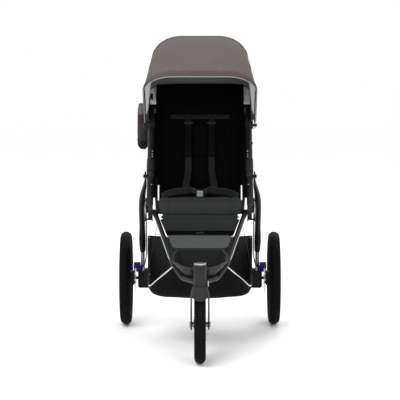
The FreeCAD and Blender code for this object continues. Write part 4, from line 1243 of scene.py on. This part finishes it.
def make_basket():
    guide = [Vector((station[1], station[0], station[2])) for station in BASKET]
    floor = [Vector((0, station[0], station[3])) for station in BASKET]
    count = 44
    rims, floors = spline_through(guide, count), spline_through(floor, count)
    rows = []
    for index, (rim, low) in enumerate(zip(rims, floors)):
        share = index / (count - 1)
        sag = 0.005 * math.sin(math.pi * share)
        scallop = 0.006 * math.sin(math.pi * max(0.0, (share - 0.45) / 0.55))
        rows.append(basket_row(rim.y, rim.x, rim.z - scallop, low.z, sag))
    shell = wrinkled(grid_piece("basket_shell", rows, "basket_cloth"), 12.0, 0.0030, 4.0)
    shell = with_thickness(shell, 0.002, 1, 0.0)
    front = len(shell.data.materials)
    shell.data.materials.append(PAINT["basket_front"])
    for face in shell.data.polygons:
        if face.normal.z < -0.2 or face.normal.x * face.center.x > 0.02:
            face.material_index = front
    place(shell, "front_frame", "basket_cloth", "basket")

    last = rows[-1]
    half_count = len(last) // 2
    wall_rows = []
    for step in range(half_count + 1):
        left, right = last[len(last) - 1 - step], last[step]
        row = []
        for spot in range(25):
            share = spot / 24
            bulge = 0.004 * math.sin(math.pi * share) * math.sin(math.pi * step / half_count)
            dip = 0.010 * math.sin(math.pi * share) * (1 - step / half_count)
            row.append(left.lerp(right, share) + Vector((0, bulge, -dip)))
        wall_rows.append(row)
    wall = wrinkled(grid_piece("basket_rear_wall", wall_rows, "basket_cloth"), 12.0, 0.003, 8.0)
    wall = with_thickness(wall, 0.002, 1, 0.0)
    place(wall, "front_frame", "basket_cloth")

    first = rows[0]
    apex = [point + Vector((0, -0.002, 0)) for point in first]
    cap_rows = []
    for step in range(6):
        left_right = []
        for index, point in enumerate(apex):
            flat = Vector((point.x, point.y, max(point.z, 0.345 - 0.002)))
            left_right.append(point.lerp(flat, step / 5))
        cap_rows.append(left_right)
    nose = with_thickness(grid_piece("basket_nose", cap_rows, "basket_front"), 0.0015, 0, 0.0)
    place(nose, "front_frame", "basket_cloth")

    for side, name in ((0, "right"), (-1, "left")):
        rim = [row[side] for row in rows]
        cut = 20
        pale = tube_piece("basket_piping_" + name, rim[:cut], 0.0030, "piping")
        place(pale, "front_frame", "piping")
        dark = tube_piece("basket_binding_" + name, rim[cut - 1:], 0.0030, "trim_and_lit_front")
        place(dark, "front_frame", "basket_cloth")
        make_basket_straps(1 if side == 0 else -1, name, rim)
    top = wall_rows[0]
    rear = tube_piece("basket_binding_rear", top, 0.0034, "trim_and_lit_front")
    place(rear, "front_frame", "basket_cloth")


def make_basket_straps(side, name, rim):
    """Webbing tabs that hold the basket's corners up to the front rail."""
    rail = Vector((side * 0.163, -0.058, 0.474))
    points = [rim[26] + Vector((0, 0, -0.012)), rim[26] + Vector((0, -0.006, 0.020)),
              rail + Vector((0.010 * side, 0.02, -0.045)), rail + Vector((0.004 * side, 0, -0.004))]
    strap = strap_piece("basket_strap_" + name, points, Vector((0, 1, 0.25)), 0.016, "webbing", 0.0016, 26)
    place(strap, "front_frame", "webbing")


# ---------------------------------------------------------------- side pouch

def make_pouch():
    """Bottle pouch on the left tube: rounded base, mesh body, corded seam and a cloth cuff."""
    low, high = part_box("side_pouch")
    centre_x = (low.x + high.x) / 2
    full_x, full_y = (high.x - low.x) / 2, 0.0455
    stations = []
    for step in range(34):
        share = step / 33
        z = mix(low.z, high.z, share)
        y = mix(0.4175, 0.4555, share)
        base = 1 - (1 - min(1.0, share / 0.13)) ** 2.4
        cuff = 1 - 0.22 * smooth((share - 0.86) / 0.14)
        swell = 1 + 0.035 * math.sin(math.pi * min(1.0, share / 0.82))
        size = max(0.2, base) ** 0.45 * cuff * swell * 0.965
        stations.append((z, y, full_x * size, full_y * size, share))
    rows = []
    for z, y, half_x, half_y, share in stations:
        row = []
        for spot in range(36):
            a = math.tau * spot / 36
            cx, cy = math.cos(a), math.sin(a)
            pucker = 1 + 0.018 * math.cos(a * 9) * smooth((share - 0.8) / 0.2)
            x = centre_x + half_x * math.copysign(abs(cx) ** 0.8, cx) * pucker
            row.append(Vector((x, y + half_y * math.copysign(abs(cy) ** 0.85, cy) * pucker, z)))
        rows.append(row)
    pouch = grid_piece("bottle_pouch", rows, "pouch_mesh", closed=True, capped=True)
    pouch = wrinkled(pouch, 22.0, 0.0022, 6.0)
    pouch.data.materials.append(PAINT["canopy_cloth"])
    pouch.data.materials.append(PAINT["seat_cloth"])
    for face in pouch.data.polygons:
        share = (face.center.z - low.z) / (high.z - low.z)
        if share > 0.80:
            face.material_index = 1
        elif share < 0.22:
            face.material_index = 2
    place(pouch, "upper_frame", "canopy_cloth", "side_pouch")
    for name, level, radius, paint in (("top", 33, 0.0024, "canopy_brim"),
                                       ("cuff", 26, 0.0020, "canopy_brim"), ("base", 7, 0.0022, "trim_and_lit_front")):
        ring = tube_piece("pouch_piping_" + name, rows[level], radius, paint, closed=True)
        place(ring, "upper_frame", "canopy_cloth" if paint == "canopy_brim" else "seat_cloth")
    for name, z in (("upper", 0.872), ("lower", 0.806)):
        start = Vector((centre_x + full_x * 0.9, 0.45 if name == "upper" else 0.438, z))
        on_tube = Vector((-TUBE_X, 0, 0)) + Vector((0, FOLD.y, FOLD.z)) + TUBE * ((start.y - FOLD.y) / TUBE.y)
        across = Vector((0, TUBE.y, TUBE.z))
        over = Vector((0, -TUBE.z, TUBE.y))
        loop = [start, on_tube + over * OVER_TUBE + Vector((-0.006, 0, 0)),
                on_tube + over * OVER_TUBE + Vector((0.006, 0, 0)), on_tube + Vector((OVER_TUBE, 0, 0)),
                on_tube - over * OVER_TUBE, start - over * 0.010]
        strap = strap_piece("pouch_strap_" + name, loop, across, 0.018, "webbing", 0.0016, 36)
        place(strap, "upper_frame", "webbing")


# ---------------------------------------------------------------- cables and small hardware

CABLE_RADIUS = 0.0025
CABLE_X = 0.2176


def make_cables():
    """The brake cables' slack loops at the leg pivot and their tails at the suspension."""
    for side, name in SIDES:
        run_top = at_x(LEG_PIVOT + LEG * 0.148, CABLE_X) - LEG_FRONT * 0.004
        loop = [Vector((0.200, FOLD.y + 0.044, FOLD.z + 0.016)),
                Vector((0.206, FOLD.y + 0.066, FOLD.z - 0.006)),
                Vector((0.214, FOLD.y + 0.108, FOLD.z - 0.016)), Vector((0.218, FOLD.y + 0.150,
                                                                         FOLD.z + 0.004)),
                run_top - LEG * 0.014 - LEG_FRONT * 0.003, run_top]
        slack = tube_piece("brake_loop_" + name, [at_x(p, p.x * side) for p in loop], CABLE_RADIUS,
                           "cable_black")
        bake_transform(slack)
        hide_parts("brake_cable_loops")
        run_end = at_x(LEG_PIVOT + LEG * 0.324, CABLE_X) - LEG_FRONT * 0.004
        end = REAR_AXLE + side_vector(128) * 0.062
        tail = [run_end, run_end + LEG * 0.024, Vector((0.222, end.y - 0.006, end.z + 0.024)),
                Vector((0.232, end.y - 0.003, end.z + 0.003)), at_x(end, 0.2385)]
        lead = tube_piece("brake_tail_" + name, [at_x(p, p.x * side) for p in tail], CABLE_RADIUS,
                          "cable_black")
        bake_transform(lead)
        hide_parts("brake_cable_tails")


def rivet(name, place_at, axis, radius, paint="silver"):
    """A domed rivet head with a flat rim."""
    axis = axis.normalized()
    side = axis.orthogonal().normalized()
    other = axis.cross(side)
    rows = []
    for out, up in ((1.0, -0.1), (1.0, 0.15), (0.86, 0.22), (0.72, 0.3), (0.5, 0.46), (0.25, 0.54),
                    (0.02, 0.56)):
        rows.append([place_at + (side * math.cos(a) + other * math.sin(a)) * radius * out + axis * radius * up
                     for a in round_angles(16)])
    return grid_piece(name, rows, paint, closed=True, capped=True)


def make_rivets():
    """Rivets on the sleeves, the leg pivots and the fold discs, and the knob on the right sleeve."""
    front = Vector((0, -TUBE.z, TUBE.y))
    for side, name in SIDES:
        base = Vector((side * TUBE_X, FOLD.y, FOLD.z))
        heads = []
        for index, along in enumerate((0.128, 0.275, 0.288, 0.305)):
            spot = base + TUBE * along + front * 0.0122 + Vector((side * -0.006, 0, 0))
            heads.append(rivet("r%d" % index, spot, front, 0.0023, "steel"))
        place(joined("sleeve_rivets_" + name, heads), "upper_frame", "silver")
        pin_head = Vector((side * 0.2252, LEG_PIVOT.y, LEG_PIVOT.z))
        place(rivet("leg_pivot_rivet_" + name, pin_head, Vector((side, 0, 0)), 0.0062), "upper_frame",
              "silver")
        hub = Vector((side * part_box("hinge_discs")[1].x, FOLD.y, FOLD.z))
        place(rivet("fold_pin_cap_" + name, hub, Vector((side, 0, 0)), 0.0085), "upper_frame", "silver")
        make_disc_rings(side, name, hub)
    knob_place = Vector((TUBE_X + 0.006, FOLD.y, FOLD.z)) + TUBE * 0.350 + front * 0.0118
    place(rivet("side_knob", knob_place, front + Vector((0.4, 0, 0)), 0.0105, "plastic_black"), "upper_frame",
          "plastic_black")
    for side, name in SIDES:
        pivot = Vector((side * 0.2272, HOOD_POINT.y, HOOD_POINT.z))
        place(rivet("hood_pivot_cap_" + name, pivot, Vector((side, 0, 0)), 0.0105, "plastic_black"),
              "upper_frame", "plastic_black")


def make_disc_rings(side, name, hub):
    """Moulded rings on a fold disc's face."""
    rings = []
    for index, (reach, radius) in enumerate(((0.0225, 0.0010), (0.0150, 0.0008))):
        loop = [hub + Vector((-side * 0.0002, reach * math.cos(a),
                              reach * math.sin(a))) for a in round_angles(40)]
        rings.append(tube_piece("ring%d" % index, loop, radius, "plastic_black", closed=True))
    place(joined("fold_disc_rings_" + name, rings), "upper_frame", "plastic_black")


def make_rail_lines():
    """A pale line along each front rail, from the fold disc down to the tray: a painted highlight along the rail's
    glossy outer edge.
    """
    start = Vector((0.176, FOLD.y - 0.018, FOLD.z - 0.007))
    end = Vector((0.101, -0.362, 0.358))
    run = (end - start).normalized()
    outward = (Vector((1, -0.25, 0.25)) - run * run.dot(Vector((1, -0.25, 0.25)))).normalized()
    for side, name in SIDES:
        points = [start.lerp(end, share) + outward * 0.0098 for share in (0.10, 0.3, 0.5, 0.7, 0.86, 0.93)]
        line = tube_piece("rail_highlight_line_" + name, [at_x(p, p.x * side) for p in points], 0.0013, "piping")
        place(line, "front_frame", "silver")


def make_grip_details():
    """Sewn seam along the grip's underside and bound ends."""
    low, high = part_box("handlebar_grip")
    centre, radius = (low + high) / 2, (high.z - low.z) / 2
    below = Vector((0, 0.25, -1)).normalized()
    seam = [Vector((mix(low.x + 0.006, high.x - 0.006, i / 30), centre.y,
                    centre.z)) + below * (radius + 0.0002) for i in range(31)]
    rows = []
    for shift in (-0.0022, 0.0022):
        rows.append(stitch_row("s%d" % int(shift * 1e4), [p + below.cross(Vector((1, 0,
                                                                                  0))) * shift for p in seam],
                                                                                  "thread", 0.005, 0.003,
                                                                                  0.0005))
    place(joined("grip_stitches", rows), "push_handle", "grip")
    for x, name in ((low.x + 0.003, "left"), (high.x - 0.003, "right")):
        reach = radius - 0.0002
        loop = [Vector((x, centre.y + reach * math.cos(a), centre.z + reach * math.sin(a)))
                for a in round_angles(32)]
        place(tube_piece("grip_end_band_" + name, loop, 0.0016, "plastic_black", closed=True), "push_handle",
              "grip")


def make_wheel_details():
    """Valve stems of the three wheels."""
    wheels = (("left", "rear_wheel_left", "left_wheel_set", -1),
              ("right", "rear_wheel_right", "right_wheel_set", 1),
              ("front", "front_wheel", "front_wheel_set", 1))
    for name, node, body, side in wheels:
        low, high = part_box(node)
        centre = Vector(((low.x + high.x) / 2, (low.y + high.y) / 2, (low.z + high.z) / 2))
        if name != "front":
            centre.x = side * (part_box("rear_tyre_right")[0].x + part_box("rear_tyre_right")[1].x) / 2
        rim = (high.z - low.z) / 2
        stem_out = side_vector(63)
        stem = [centre + stem_out * (rim - 0.008), centre + stem_out * (rim - 0.022),
                centre + stem_out * (rim - 0.034)]
        place(tube_piece("valve_" + name, stem, 0.0030, "cable_black"), body, "cable_black")


make_camera()
make_stage()
finish_cad_nodes()
paint_tray_shade()
make_tyres()
make_canopy()
make_seat_base()
make_seat_back()
make_top_flap()
make_calf_panel()
make_apron()
make_basket()
make_pouch()
make_cables()
make_rivets()
make_rail_lines()
make_grip_details()
make_wheel_details()
